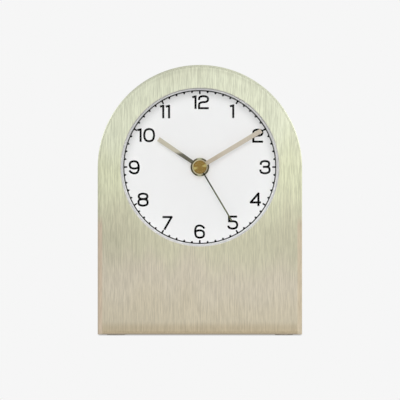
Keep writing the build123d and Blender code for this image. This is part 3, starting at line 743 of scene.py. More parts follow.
@dataclass(frozen=True)
class HandMetal(Brushed):
    """Satin hand metal with a painted dark reflection towards the hub, with a slanted border, and
    painted reflection and highlights on the hub where it is given a painted sheen.
    """

    turn: float = 0.0
    # Painted dark reflection towards the hub, and the hub's painted reflection tone.
    dark_colour: Colour = (103, 101, 88)
    dark_end: float = 12.3 * MM
    light_start: float = 15.8 * MM
    slant_share: float = 1.4
    fan: Fan | None = None
    hub_colour: Colour = (84, 80, 64)
    hub_radius: float = 5.25 * MM

    def tint(self, canvas: Canvas) -> Socket:
        """Mixes the painted dark reflection along the hand, and the hub's painted reflection and
        highlights.

        Args:
            canvas: The material's canvas.

        Returns:
            The colour's socket.
        """
        moved = canvas.from_axis(canvas.own_place())
        sockets = {"Vector": moved, "Angle": self.turn}
        turned = canvas.add("VectorRotate", sockets, rotation_type="Y_AXIS").outputs[0]
        across, _, along = canvas.split(turned)
        slanted = canvas.math("ADD", along, canvas.math("MULTIPLY", across, self.slant_share))
        light = canvas.spread(slanted, (self.dark_end, self.light_start))
        colour = canvas.blend(light, linear(self.dark_colour), linear(self.colour))
        if not self.fan:
            return colour
        hub = canvas.math("LESS_THAN", canvas.math("ABSOLUTE", across), self.hub_radius)
        ends = (self.hub_radius, 1.02 * self.hub_radius)
        near = canvas.spread(canvas.math("ABSOLUTE", along), ends, (1.0, 0.0))
        sheened_hub = self.fan.lay(canvas, moved, linear(self.hub_colour))
        return canvas.blend(canvas.math("MULTIPLY", hub, near), colour, sheened_hub)


@dataclass(frozen=True)
class ClearLens(Finish):
    """Clear sheet with a trace of dust in its gloss."""

    index: float = 1.45
    solid_share: float = 0.1

    def finish_shader(self, canvas: Canvas, shader: bpy.types.Node) -> None:
        """Makes the shader clear.

        Args:
            canvas: The material's canvas; not used.
            shader: The material's shader.
        """
        shader.inputs["Transmission Weight"].default_value = 1.0
        shader.inputs["IOR"].default_value = self.index
        shader.inputs["Alpha"].default_value = self.solid_share


@dataclass(frozen=True)
class ShadedRing(Finish):
    """White moulding with a painted shadow: a grey line at the outer end of its sloped inside."""

    # Painted shadow line at the outer end of the sloped inside, on the upper part.
    line_colour: Colour = (165, 165, 163)
    line_radii: tuple[float, float] = (43.7 * MM, 43.9 * MM)
    line_heights: tuple[float, float] = (8.0 * MM, 28.0 * MM)

    def tint(self, canvas: Canvas) -> Socket:
        """Paints the shadow line on the upper part.

        Args:
            canvas: The material's canvas.

        Returns:
            The colour's socket.
        """
        radius, up = canvas.round_axis(self.place(canvas))
        line = canvas.spread(radius, self.line_radii)
        share = canvas.math("MULTIPLY", line, canvas.spread(up, self.line_heights))
        return canvas.blend(share, linear(self.colour), linear(self.line_colour))


@dataclass(frozen=True)
class DialPaint(Finish):
    """Matt white paint with painted shade: it greys a little towards the upper rim and the sides.
    """

    # Painted shade towards the upper rim and the sides.
    rim_start: float = 35.0 * MM
    rim_end: float = 43.0 * MM
    rim_share: float = 0.27

    def tint(self, canvas: Canvas) -> Socket:
        """Paints shade on the paint towards the rim.

        Args:
            canvas: The material's canvas.

        Returns:
            The colour's socket.
        """
        radius, up = canvas.round_axis(self.place(canvas))
        rim = canvas.spread(radius, (self.rim_start, self.rim_end))
        heights = (-0.7 * self.rim_end, 0.5 * self.rim_end)
        upper = canvas.spread(up, heights, (0.0, self.rim_share))
        dark = canvas.math("MULTIPLY", canvas.math("MULTIPLY", rim, rim), upper)
        return canvas.scale(linear(self.colour)[:3], canvas.math("SUBTRACT", 1.0, dark))


@dataclass(frozen=True)
class CellWrap(Finish):
    """Printed wrap of the battery cell, with bare steel at both ends and one plain band."""

    band_colour: Colour = (176, 142, 84)
    steel_colour: Colour = (176, 174, 168)
    wrap_left: float = -23.6 * MM
    wrap_right: float = 25.1 * MM
    band_left: float = 15.0 * MM
    border: float = 0.05 * MM

    def tint(self, canvas: Canvas) -> Socket:
        """Mixes the wrap, the band and the steel ends along the cell.

        Args:
            canvas: The material's canvas.

        Returns:
            The colour's socket.
        """
        along = canvas.split(canvas.own_place())[0]
        band = canvas.spread(along, (self.band_left, self.band_left + self.border))
        colour = canvas.blend(band, linear(self.colour), linear(self.band_colour))
        return canvas.blend(self.bare(canvas, along), colour, linear(self.steel_colour))

    def bare(self, canvas: Canvas, along: Socket) -> Socket:
        """Marks the steel ends that the wrap leaves bare.

        Args:
            canvas: The material's canvas.
            along: The place along the cell.

        Returns:
            One on bare steel and zero on the wrap.
        """
        left = canvas.spread(along, (self.wrap_left - self.border, self.wrap_left), (1.0, 0.0))
        right = canvas.spread(along, (self.wrap_right, self.wrap_right + self.border))
        return canvas.math("ADD", left, right)


@dataclass(frozen=True)
class WoundWire(Finish):
    """Enamelled wire in close turns about the X axis."""

    turns_per_metre: float = 9000.0
    waver: float = 0.3

    def pattern(self, canvas: Canvas, place: Socket) -> tuple[Socket, Socket]:
        """Adds the turns as waves along X.

        Args:
            canvas: The material's canvas.
            place: The place that it is looked up at.

        Returns:
            The tone and the height, from 0 to 1.
        """
        scale = self.turns_per_metre / math.tau
        sockets = {"Vector": place, "Scale": scale, "Distortion": self.waver}
        wave = canvas.add("TexWave", sockets, bands_direction="X").outputs["Fac"]
        return wave, wave


@dataclass(frozen=True)
class SolderMask(Finish):
    """Circuit board with tracks under its solder mask."""

    track_colour: Colour = (58, 128, 74)
    cells_per_metre: float = 420.0
    track_edges: tuple[float, float] = (0.1, 0.14)

    def tint(self, canvas: Canvas) -> Socket:
        """Draws tracks as the borders of squared cells.

        Args:
            canvas: The material's canvas.

        Returns:
            The colour's socket.
        """
        sockets = {"Vector": canvas.own_place(), "Scale": self.cells_per_metre}
        cells = canvas.add("TexVoronoi", sockets, distance="CHEBYCHEV", feature="DISTANCE_TO_EDGE")
        track = canvas.spread(cells.outputs[0], self.track_edges, (1.0, 0.0))
        return canvas.blend(track, linear(self.colour), linear(self.track_colour))


class Slot(Enum):
    """Names of three material slots of the record."""

    DIAL = "dial_white"
    SCREW = "screw_steel"
    MOVEMENT = "movement_moulding"


# Turns of the hands' metal, which bring each hand upright as at 12.
HOUR_TURN = math.radians(-304.0)
MINUTE_TURN = math.radians(-59.3)
SECONDS_TURN = math.radians(-149.3)
# Painted highlights: rays of painted sheen on the cap and on the hour and minute hands' hubs.
CAP_PAINTED_SHEEN = Fan((182, 170, 108), (256.0, 74.0), 0.945)
HUB_PAINTED_SHEEN = Fan((176, 178, 150), (356.0, 182.0), 0.93)
MINUTE_PAINTED_SHEEN = Fan((214, 205, 168), (300.0, 210.0), 0.2)


def dress(nodes: dict[str, bpy.types.Object], finish: Finish, *names: str) -> None:
    """Gives CAD nodes a finish.

    Args:
        nodes: The frame's nodes.
        finish: The finish.
        names: The nodes that get it.
    """
    material = finish.build()
    for name in names:
        for slot in nodes[name].material_slots:
            slot.material = material
        LOG.info("dressed %s in %s", name, finish.name)


def settle(
    mesh: bmesh.types.BMesh,
    name: str,
    finish: Finish,
    body: str,
    replaces: tuple[str, ...] = (),
) -> bpy.types.Object:
    """Turns a finished bmesh into a piece that rides on a body.

    Args:
        mesh: The shape, in place, which is freed.
        name: The piece's name.
        finish: Its finish.
        body: The body that it rides on.
        replaces: CAD nodes that it stands for.

    Returns:
        The piece.
    """
    bmesh.ops.recalc_face_normals(mesh, faces=mesh.faces)
    data = bpy.data.meshes.new(name)
    mesh.to_mesh(data)
    mesh.free()
    data.materials.append(finish.build())
    data.shade_smooth()
    data.set_sharp_from_angle(angle=SHARP_ANGLE)
    piece = bpy.data.objects.new(name, data)
    bpy.context.scene.collection.objects.link(piece)
    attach(piece, body)
    if replaces:
        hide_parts(*replaces)
    LOG.info("made %s with %d faces on %s", name, len(data.polygons), body)
    return piece


def picked(made: Iterable, kind: type) -> list:
    """Picks one kind out of the mixed vertices, edges and faces that an operator made."""
    return [item for item in made if isinstance(item, kind)]


class Side(Enum):
    """The side that the pen turns to."""

    LEFT = 1
    RIGHT = -1


LEFT, RIGHT = Side


class Pen:
    """Draws flat strokes facing the front by moving the edge of a nib."""

    overrun = 0.38
    step = math.radians(6)
    outer_turn = math.radians(25)
    inner_turn = math.radians(40)
    tightness = 0.62

    def __init__(self, mesh: bmesh.types.BMesh, width: float, depth: float) -> None:
        """Takes up a nib.

        Args:
            mesh: The bmesh that is drawn in.
            width: The strokes' width.
            depth: Place along Y of the plane that is drawn on.
        """
        self.mesh = mesh
        self.width = width
        self.depth = depth
        self.nib: bmesh.types.BMEdge | None = None
        self.tip = Vector((0, 0, 0))
        self.heading = 0.0

    def ahead(self) -> Vector:
        """Gives the direction that the pen moves in."""
        return Vector((math.cos(self.heading), 0, math.sin(self.heading)))

    def aside(self) -> Vector:
        """Gives the direction to the left of the pen's way."""
        return Vector((-math.sin(self.heading), 0, math.cos(self.heading)))

    def cap(self) -> None:
        """Ends the stroke a little beyond its last place."""
        self.line(self.width * self.overrun)

    def start(self, x: float, z: float, heading: float) -> None:
        """Sets the nib down a little before the stroke's first place.

        Args:
            x: Place along X.
            z: Place along Z.
            heading: Direction of the stroke in degrees from +X towards +Z.
        """
        self.heading = math.radians(heading)
        before = self.width * self.overrun
        self.tip = Vector((x, self.depth, z)) - self.ahead() * before
        side = self.aside() * self.width / 2
        ends = [self.mesh.verts.new(self.tip + side), self.mesh.verts.new(self.tip - side)]
        self.nib = self.mesh.edges.new(ends)
        self.line(before)

    def line(self, length: float) -> None:
        """Draws straight on.

        Args:
            length: The run's length.
        """
        made = bmesh.ops.extrude_edge_only(self.mesh, edges=[self.nib])["geom"]
        move = self.ahead() * length
        bmesh.ops.translate(self.mesh, verts=picked(made, bmesh.types.BMVert), vec=move)
        self.nib = picked(made, bmesh.types.BMEdge)[0]
        self.tip = self.tip + move

    def arc(self, radius: float, angle: float, side: Side) -> None:
        """Draws an arc.

        Args:
            radius: The arc's radius.
            angle: How far it turns, in radians.
            side: The side that it turns to.
        """
        axis = -DEPTH_AXIS * side.value
        centre = self.tip + self.aside() * radius * side.value
        made = bmesh.ops.spin(
            self.mesh,
            geom=[self.nib, *self.nib.verts],
            cent=centre,
            axis=axis,
            angle=angle,
            steps=max(2, round(angle / self.step)),
        )["geom_last"]
        self.nib = picked(made, bmesh.types.BMEdge)[0]
        self.tip = centre + Matrix.Rotation(angle, 3, axis) @ (self.tip - centre)
        self.heading += angle * side.value

    def quarter(self, ahead: float, aside: float, side: Side) -> None:
        """Draws a squared quarter turn of three arcs, tightest in the middle.

        Args:
            ahead: How far it reaches along the first direction.
            aside: How far it reaches across it.
            side: The side that it turns to.
        """
        outer, inner = self.outer_turn, self.inner_turn
        near, far = 1 - math.cos(outer), math.sin(outer)
        middle = self.tightness * min(ahead, aside)
        span = math.cos(outer) - math.cos(outer + inner)
        along, across = ahead - span * middle, aside - span * middle
        scale = far**2 - near**2
        self.arc((far * along - near * across) / scale, outer, side)
        self.arc(middle, inner, side)
        self.arc((far * across - near * along) / scale, outer, side)


@dataclass(frozen=True)
class Line:
    """A straight run of a stroke, in shares of half the numeral's height."""

    length: float

    def draw(self, pen: Pen, unit: float) -> None:
        """Draws the run at a size."""
        pen.line(self.length * unit)


@dataclass(frozen=True)
class Arc:
    """A round bend of a stroke, in the same shares."""

    radius: float
    degrees: float
    side: Side

    def draw(self, pen: Pen, unit: float) -> None:
        """Draws the bend at a size."""
        pen.arc(self.radius * unit, math.radians(self.degrees), self.side)


@dataclass(frozen=True)
class Quarter:
    """A squared quarter turn of a stroke, in the same shares."""

    ahead: float
    aside: float
    side: Side

    def draw(self, pen: Pen, unit: float) -> None:
        """Draws the quarter turn at a size."""
        pen.quarter(self.ahead * unit, self.aside * unit, self.side)


def oval(up: float, across: float) -> tuple[Quarter, ...]:
    """Gives the moves once round an oval to the left, from its right-hand side."""
    return (Quarter(up, across, LEFT), Quarter(across, up, LEFT)) * 2


@dataclass(frozen=True)
class Stroke:
    """One stroke of a numeral, in shares of half the numeral's height."""

    start_shares: tuple[float, float]
    heading: float
    moves: tuple[Line | Arc | Quarter, ...]
    capped: bool = True

    def draw(self, pen: Pen, centre: Vector, unit: float, turned: bool) -> None:
        """Draws the stroke.

        Args:
            pen: The pen.
            centre: Middle of the numeral.
            unit: Half the numeral's height.
            turned: Whether the numeral is turned by half a turn.
        """
        way = -1 if turned else 1
        x, z = (share * unit * way for share in self.start_shares)
        pen.start(centre.x + x, centre.z + z, self.heading + (180 if turned else 0))
        for move in self.moves:
            move.draw(pen, unit)
        if self.capped:
            pen.cap()


SIX_SHARES = (
    Stroke(
        (0.74, 0.62),
        125,
        (
            Arc(0.93, 55, LEFT),
            Quarter(0.735, 1.0, LEFT),
            Quarter(1.03, 0.755, LEFT),
            Quarter(0.755, 0.61, LEFT),
            Quarter(0.61, 0.755, LEFT),
            Quarter(0.72, 0.46, LEFT),
        ),
        capped=False,
    ),
)
DIGIT_SHARES: dict[str, tuple[Stroke, ...]] = {
    "0": (Stroke((0.82, 0.0), 90, oval(1.015, 0.82), capped=False),),
    "1": (
        Stroke((0.0, 1.0), -90, (Line(2.0),)),
        Stroke((-0.42, 0.86), 12, (Line(0.4),)),
    ),
    "2": (
        Stroke(
            (-0.75, 0.5),
            90,
            (
                Quarter(0.515, 0.75, RIGHT),
                Quarter(0.755, 0.49, RIGHT),
                Quarter(0.5, 0.6, RIGHT),
                Line(0.1),
                Quarter(0.81, 0.55, LEFT),
                Line(0.475),
            ),
        ),
        Stroke((-0.755, -1.0), 0, (Line(1.5),)),
    ),
    "3": (
        Stroke(
            (-0.7, 0.52),
            90,
            (
                Quarter(0.5, 0.7, RIGHT),
                Quarter(0.7, 0.46, RIGHT),
                Quarter(0.51, 0.5, RIGHT),
                Line(0.42),
            ),
        ),
        Stroke(
            (0.2, 0.05),
            0,
            (Quarter(0.57, 0.5, RIGHT), Quarter(0.57, 0.77, RIGHT), Quarter(0.77, 0.5, RIGHT)),
        ),
    ),
    "4": (
        Stroke((0.49, 1.0), -90, (Line(2.0),)),
        Stroke((0.49, 1.0), -131, (Line(1.98),)),
        Stroke((-0.79, -0.51), 0, (Line(1.56),)),
    ),
    "5": (
        Stroke((0.6, 1.0), 180, (Line(1.215),)),
        Stroke((-0.615, 1.0), -90, (Line(0.78),)),
        Stroke(
            (-0.615, 0.22),
            0,
            (
                Line(0.7),
                Quarter(0.665, 0.6, RIGHT),
                Quarter(0.63, 0.74, RIGHT),
                Quarter(0.74, 0.5, RIGHT),
            ),
            capped=False,
        ),
    ),
    "6": SIX_SHARES,
    "7": (
        Stroke((-0.7, 1.0), 0, (Line(1.38),)),
        Stroke((0.68, 1.0), -119.9, (Line(2.307),)),
    ),
    "8": (
        Stroke((0.72, 0.5475), 90, oval(0.4525, 0.72), capped=False),
        Stroke((0.77, -0.4525), 90, oval(0.5475, 0.77), capped=False),
    ),
    "9": SIX_SHARES,
}


@dataclass(frozen=True)
class Numeral:
    """An hour numeral, with how far it stands from its exact place."""

    hour: int
    nudge: tuple[float, float] = (0.0, 0.0)
    digit_places: tuple[float, ...] = (0.0,)


@dataclass(frozen=True)
class Mark:
    """A mark of the minute track: its length, and its width at the track and at its tip."""

    length: float
    root: float
    tip: float


@dataclass
class DialPrint:
    """Black print on the dial: the hour numerals and the minute track."""

    centre: Vector
    dial_front: float
    ink: Finish
    radius: float = 36.25 * MM
    half_height: float = 3.34 * MM
    stroke: float = 1.17 * MM
    film: float = 0.03 * MM
    merge_distance: float = 0.0005 * MM
    track_radius: float = 42.73 * MM
    track_width: float = 0.62 * MM
    track_shift: tuple[float, float] = (-0.06 * MM, 0.08 * MM)
    track_squeeze: float = 0.995
    track_steps: int = 240
    minute_mark: Mark = Mark(0.86 * MM, 1.35 * MM, 0.5 * MM)
    hour_mark: Mark = Mark(1.64 * MM, 1.0 * MM, 0.8 * MM)
    numerals: tuple[Numeral, ...] = (
        Numeral(1, (0.5 * MM, -0.1 * MM)),
        Numeral(2, (1.0 * MM, -0.52 * MM)),
        Numeral(3, (0.15 * MM, 0.0)),
        Numeral(4, (-0.3 * MM, 0.1 * MM)),
        Numeral(5, (0.2 * MM, 0.4 * MM)),
        Numeral(6, (-0.2 * MM, 0.2 * MM)),
        Numeral(7, (0.0, 0.15 * MM)),
        Numeral(8, (-0.42 * MM, -0.05 * MM)),
        Numeral(9, (-0.48 * MM, -0.08 * MM)),
        Numeral(10, (0.22 * MM, -0.2 * MM), (-2.0 * MM, 2.76 * MM)),
        Numeral(11, (-1.2 * MM, -0.28 * MM), (-1.2 * MM, 2.05 * MM)),
        Numeral(12, (0.75 * MM, 0.1 * MM), (-3.2 * MM, 1.26 * MM)),
    )

    def place(self, clock_angle: float, radius: float) -> Vector:
        """Gives a place on the dial.

        Args:
            clock_angle: Degrees clockwise from the top.
            radius: Distance from the hands' axis.

        Returns:
            The place on the dial's face.
        """
        turn = math.radians(clock_angle)
        across, up = radius * math.sin(turn), radius * math.cos(turn)
        return Vector((self.centre.x + across, self.dial_front, self.centre.z + up))

    def thicken(self, mesh: bmesh.types.BMesh) -> None:
        """Gives the flat print the thickness of its film, towards the front.

        Args:
            mesh: The flat print.
        """
        bmesh.ops.remove_doubles(mesh, verts=mesh.verts, dist=self.merge_distance)
        bmesh.ops.recalc_face_normals(mesh, faces=mesh.faces)
        back = [face for face in mesh.faces if face.normal.y < 0]
        bmesh.ops.reverse_faces(mesh, faces=back)
        made = bmesh.ops.extrude_face_region(mesh, geom=mesh.faces[:], use_keep_orig=True)["geom"]
        front = picked(made, bmesh.types.BMVert)
        bmesh.ops.translate(mesh, verts=front, vec=-DEPTH_AXIS * self.film)

    def make_numerals(self) -> bpy.types.Object:
        """Draws the hour numerals.

        Returns:
            The piece.
        """
        mesh = bmesh.new()
        pen = Pen(mesh, self.stroke, self.dial_front)
        for numeral in self.numerals:
            across, up = numeral.nudge
            middle = self.place(numeral.hour * 30, self.radius) + Vector((across, 0, up))
            for digit, shift in zip(str(numeral.hour), numeral.digit_places):
                for stroke in DIGIT_SHARES[digit]:
                    stroke.draw(pen, middle + Vector((shift, 0, 0)), self.half_height, digit == "9")
        self.thicken(mesh)
        return settle(mesh, "dial_numerals", self.ink, "case")

    def make_track(self) -> bpy.types.Object:
        """Draws the minute track with its sixty marks.

        Returns:
            The piece.
        """
        mesh = bmesh.new()
        half = self.track_width / 2
        shift = Vector((self.track_shift[0], 0, self.track_shift[1]))
        radii = (self.track_radius - half, self.track_radius + half)
        ends = [mesh.verts.new(self.place(0, radius) + shift) for radius in radii]
        edge = mesh.edges.new(ends)
        centre = Vector((self.centre.x, self.dial_front, self.centre.z)) + shift
        bmesh.ops.spin(
            mesh,
            geom=[edge, *ends],
            cent=centre,
            axis=DEPTH_AXIS,
            angle=math.tau,
            steps=self.track_steps,
            use_merge=True,
        )
        for minute in range(60):
            mark = self.minute_mark if minute % 5 else self.hour_mark
            outer = self.place(minute * 6, radii[0]) + shift
            inner = self.place(minute * 6, radii[0] - mark.length) + shift
            across = Matrix.Rotation(math.radians(minute * 6), 3, DEPTH_AXIS) @ Vector((1, 0, 0))
            corners = (
                outer - across * mark.root / 2,
                outer + across * mark.root / 2,
                inner + across * mark.tip / 2,
                inner - across * mark.tip / 2,
            )
            mesh.faces.new([mesh.verts.new(corner) for corner in corners])
        middle = Matrix.Translation(-centre)
        bmesh.ops.scale(mesh, vec=(self.track_squeeze, 1, 1), space=middle, verts=mesh.verts)
        self.thicken(mesh)
        return settle(mesh, "minute_track", self.ink, "case")


@dataclass
class ScrewSet:
    """Identical pan-head screws with a cross recess and thread rings."""

    name: str
    replaced: str
    places: tuple[Vector, ...]
    outward: Vector
    steel: Finish
    head_radius: float = 2.4 * MM
    head_height: float = 1.2 * MM
    shank_radius: float = 1.2 * MM
    shank_length: float = 7.0 * MM
    thread_depth: float = 0.22 * MM
    thread_pitch: float = 0.9 * MM
    recess_reach: float = 1.25 * MM
    recess_width: float = 0.5 * MM
    recess_depth: float = 0.8 * MM
    recess_taper: float = 0.55
    edge_round: float = 0.35 * MM
    first_turn: float = 23.0
    next_turn: float = 31.0
    spacing: float = 6.0 * MM
    face_tolerance: float = 0.01 * MM
    merge_distance: float = 0.0001 * MM

    @classmethod
    def on_node(
        cls, node: bpy.types.Object, name: str, outward: Vector, steel: Finish, **sizes: float
    ) -> ScrewSet:
        """Takes the places of a node's plain screws, by grouping the points of their heads.

        Args:
            node: The CAD node of the screws.
            name: Name of the new piece.
            outward: The way that the heads point.
            steel: The finish.
            sizes: Sizes that differ from the usual ones.

        Returns:
            The set, with the middle of each head's seat.
        """
        points = [vert.co.copy() for vert in node.data.vertices]
        outside = max(outward.dot(point) for point in points)
        groups: list[list[Vector]] = []
        for point in points:
            if outward.dot(point) <= outside - cls.face_tolerance:
                continue
            near = [group for group in groups if (group[0] - point).length < cls.spacing]
            if near:
                near[0].append(point)
            else:
                groups.append([point])
        seats = []
        for group in groups:
            low = Vector([min(point[i] for point in group) for i in range(3)])
            high = Vector([max(point[i] for point in group) for i in range(3)])
            middle = (low + high) / 2
            top = outside - outward.dot(middle)
            seats.append(middle + outward * (top - cls.head_height))
        return cls(name, node.name, tuple(seats), outward, steel, **sizes)

    def head(self, mesh: bmesh.types.BMesh) -> None:
        """Makes the head with its rounded rim and its recess, outwards along +Z from the seat.

        Args:
            mesh: The bmesh that it is made in.
        """
        disc = bmesh.ops.create_circle(mesh, cap_ends=True, segments=40, radius=self.head_radius)
        base = list({face for vert in disc["verts"] for face in vert.link_faces})
        top = bmesh.ops.extrude_face_region(mesh, geom=base, use_keep_orig=True)["geom"]
        verts = picked(top, bmesh.types.BMVert)
        bmesh.ops.translate(mesh, verts=verts, vec=(0, 0, self.head_height))
        face = picked(top, bmesh.types.BMFace)[0]
        bmesh.ops.bevel(
            mesh,
            geom=list(face.edges),
            offset=self.edge_round,
            offset_type="OFFSET",
            segments=4,
            profile=0.5,
            affect="EDGES",
            material=-1,
        )
        ranks = [(round(item.calc_center_median().z, 7), len(item.verts)) for item in mesh.faces]
        face = mesh.faces[:][ranks.index(max(ranks))]
        rim = list(face.edges)
        bmesh.ops.delete(mesh, geom=[face], context="FACES_ONLY")
        cross = self.cross(mesh)
        bmesh.ops.bridge_loops(mesh, edges=rim + cross)
        self.sink(mesh, cross)

    def cross(self, mesh: bmesh.types.BMesh) -> list[bmesh.types.BMEdge]:
        """Draws the outline of the recess on the head's top.

        Args:
            mesh: The bmesh that it is made in.

        Returns:
            The outline's edges.
        """
        reach, half = self.recess_reach, self.recess_width / 2
        arm = (Vector((reach, -half, 0)), Vector((reach, half, 0)), Vector((half, half, 0)))
        top = Vector((0, 0, self.head_height))
        verts = []
        for quarter in range(4):
            turn = Matrix.Rotation(quarter * math.pi / 2, 3, "Z")
            verts += [mesh.verts.new(turn @ corner + top) for corner in arm]
        return [mesh.edges.new((verts[i - 1], verts[i])) for i in range(len(verts))]

    def sink(self, mesh: bmesh.types.BMesh, outline: list[bmesh.types.BMEdge]) -> None:
        """Sinks the recess with tapered walls.

        Args:
            mesh: The bmesh that it is made in.
            outline: The recess's outline.
        """
        made = bmesh.ops.extrude_edge_only(mesh, edges=outline)["geom"]
        verts = picked(made, bmesh.types.BMVert)
        bmesh.ops.scale(mesh, verts=verts, vec=(self.recess_taper, self.recess_taper, 1.0))
        bmesh.ops.translate(mesh, verts=verts, vec=(0, 0, -self.recess_depth))
        bmesh.ops.contextual_create(mesh, geom=picked(made, bmesh.types.BMEdge))

    def shank(self, mesh: bmesh.types.BMesh) -> None:
        """Spins the threaded shank inwards along -Z from the seat.

        Args:
            mesh: The bmesh that it is made in.
        """
        corners = [Vector((0, 0, 0)), Vector((self.shank_radius, 0, 0))]
        turns = int(self.shank_length / self.thread_pitch) - 1
        for turn in range(turns):
            low = -(turn + 0.5) * self.thread_pitch
            corners.append(Vector((self.shank_radius - self.thread_depth, 0, low)))
            corners.append(Vector((self.shank_radius, 0, low - self.thread_pitch / 2)))
        corners.append(Vector((0, 0, -self.shank_length)))
        verts = [mesh.verts.new(corner) for corner in corners]
        edges = [mesh.edges.new(pair) for pair in zip(verts, verts[1:])]
        bmesh.ops.spin(
            mesh,
            geom=verts + edges,
            cent=(0, 0, 0),
            axis=(0, 0, 1),
            angle=math.tau,
            steps=32,
            use_merge=True,
        )

    def build(self) -> bpy.types.Object:
        """Makes every screw of the set as one piece.

        Returns:
            The piece.
        """
        mesh = bmesh.new()
        turn = Vector((0, 0, 1)).rotation_difference(self.outward).to_matrix().to_4x4()
        for number, place in enumerate(self.places):
            one = bmesh.new()
            self.head(one)
            self.shank(one)
            bmesh.ops.remove_doubles(one, verts=one.verts, dist=self.merge_distance)
            angle = math.radians(self.first_turn + self.next_turn * number)
            seated = Matrix.Translation(place) @ turn @ Matrix.Rotation(angle, 4, "Z")
            bmesh.ops.transform(one, matrix=seated, verts=one.verts)
            data = bpy.data.meshes.new("one_screw")
            one.to_mesh(data)
            one.free()
            mesh.from_mesh(data)
            bpy.data.meshes.remove(data)
        return settle(mesh, self.name, self.steel, "case", (self.replaced,))


@dataclass
class BackSigns:
    """Raised, painted marks on the movement's back: plus, minus and the setting arrows."""

    knob_centre: Vector
    back: float
    bay_top: float
    half_width: float
    paint: Finish
    raise_height: float = 0.2 * MM
    bar: float = 0.55 * MM
    reach: float = 1.5 * MM
    inset: float = 4.0 * MM
    drop: float = 2.6 * MM
    arrow_radius: float = 6.6 * MM
    arrow_width: float = 0.7 * MM
    arrow_head: float = 1.9 * MM
    arrow_point: float = 0.1 * MM
    arrow_start: float = 80.0
    arrow_turn: float = 55.0

    @classmethod
    def on_movement(cls, paint: Finish, bay_gap: float = 0.35 * MM) -> BackSigns:
        """Takes the marks' places from the knob, the cell and the movement's rear case.

        Args:
            paint: The finish.
            bay_gap: Room in the bay above the cell.

        Returns:
            The marks.
        """
        knob_low, knob_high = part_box("setting_knob")
        cell_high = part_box("battery_cell")[1]
        case_low, case_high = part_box("movement_rear_case")
        half_width = (case_high.x - case_low.x) / 2
        middle = (knob_low + knob_high) / 2
        return cls(middle, case_high.y, cell_high.z + bay_gap, half_width, paint)

    def box(self, mesh: bmesh.types.BMesh, centre: Vector, width: float, height: float) -> None:
        """Adds a raised bar.

        Args:
            mesh: The bmesh that it is made in.
            centre: Middle of the bar on the movement's back.
            width: Size along X.
            height: Size along Z.
        """
        place = Matrix.Translation(centre + DEPTH_AXIS * self.raise_height / 2)
        shape = Matrix.Diagonal((width, self.raise_height, height, 1.0))
        bmesh.ops.create_cube(mesh, size=1.0, matrix=place @ shape)

    def arrow(self, mesh: bmesh.types.BMesh, start: float) -> None:
        """Adds a curved arrow about the knob, which points the way that sets the hands forward.

        Args:
            mesh: The bmesh that it is made in.
            start: Angle of its tail in degrees from +X towards +Z.
        """
        foot = Matrix.Translation(Vector((self.knob_centre.x, self.back, self.knob_centre.z)))
        turn = Matrix.Rotation(-math.radians(start), 4, "Y")
        half = self.arrow_width / 2
        verts = []
        for side, share in ((-half, 0), (half, 0), (half, 1), (-half, 1)):
            corner = Vector((self.arrow_radius + side, share * self.raise_height, 0))
            verts.append(mesh.verts.new(foot @ turn @ corner))
        face = mesh.faces.new(verts)
        made = bmesh.ops.spin(
            mesh,
            geom=[face, *face.edges, *face.verts],
            cent=foot.translation,
            axis=DEPTH_AXIS,
            angle=math.radians(self.arrow_turn),
            steps=12,
        )["geom_last"]
        last = picked(made, bmesh.types.BMFace)
        grown = bmesh.ops.extrude_discrete_faces(mesh, faces=last)["faces"][0]
        middle = grown.calc_center_median()
        end_turn = Matrix.Rotation(math.radians(self.arrow_turn - start), 4, "Y")
        out = end_turn @ Vector((1, 0, 0))
        way = end_turn @ Vector((0, 0, -1))
        for vert in grown.verts:
            side = 1 if (vert.co - middle).dot(out) > 0 else -1
            vert.co += out * side * (self.arrow_head / 2 - half)
        tip = bmesh.ops.extrude_discrete_faces(mesh, faces=[grown])["faces"][0]
        for vert in tip.verts:
            side = 1 if (vert.co - middle).dot(out) > 0 else -1
            vert.co += way * self.arrow_head - out * side * (self.arrow_head - self.arrow_point) / 2

    def build(self) -> bpy.types.Object:
        """Makes all the marks as one piece.

        Returns:
            The piece.
        """
        mesh = bmesh.new()
        height = self.bay_top + self.drop
        plus = Vector((self.half_width - self.inset, self.back, height))
        minus = Vector((-self.half_width + self.inset, self.back, height))
        self.box(mesh, plus, 2 * self.reach, self.bar)
        arm = self.reach - self.bar / 2
        for way in (1, -1):
            offset = Vector((0, 0, way * (arm + self.bar) / 2))
            self.box(mesh, plus + offset, self.bar, arm)
        self.box(mesh, minus, 2 * self.reach, self.bar)
        for start in (self.arrow_start, self.arrow_start + 180):
            self.arrow(mesh, start)
        return settle(mesh, "movement_marks", self.paint, "case")


@dataclass(frozen=True)
class Softbox:
    """One soft studio lamp."""

    name: str
    place: tuple[float, float, float]
    size: tuple[float, float]
    radiance: float
    in_reflections: bool = True
    casts_shadow: bool = True

    def build(self, target: Vector) -> None:
        """Hangs the lamp so that it points at the clock.

        Args:
            target: The point that it faces.
        """
        data = bpy.data.lights.new(self.name, "AREA")
        data.shape = "RECTANGLE"
        data.size, data.size_y = self.size
        data.energy = self.radiance * math.pi * self.size[0] * self.size[1]
        data.use_shadow = self.casts_shadow
        lamp = bpy.data.objects.new(self.name, data)
        lamp.location = self.place
        lamp.rotation_euler = (target - Vector(self.place)).to_track_quat("-Z", "Y").to_euler()
        lamp.visible_camera = False
        lamp.visible_glossy = self.in_reflections
        lamp.visible_transmission = self.in_reflections
        bpy.context.scene.collection.objects.link(lamp)


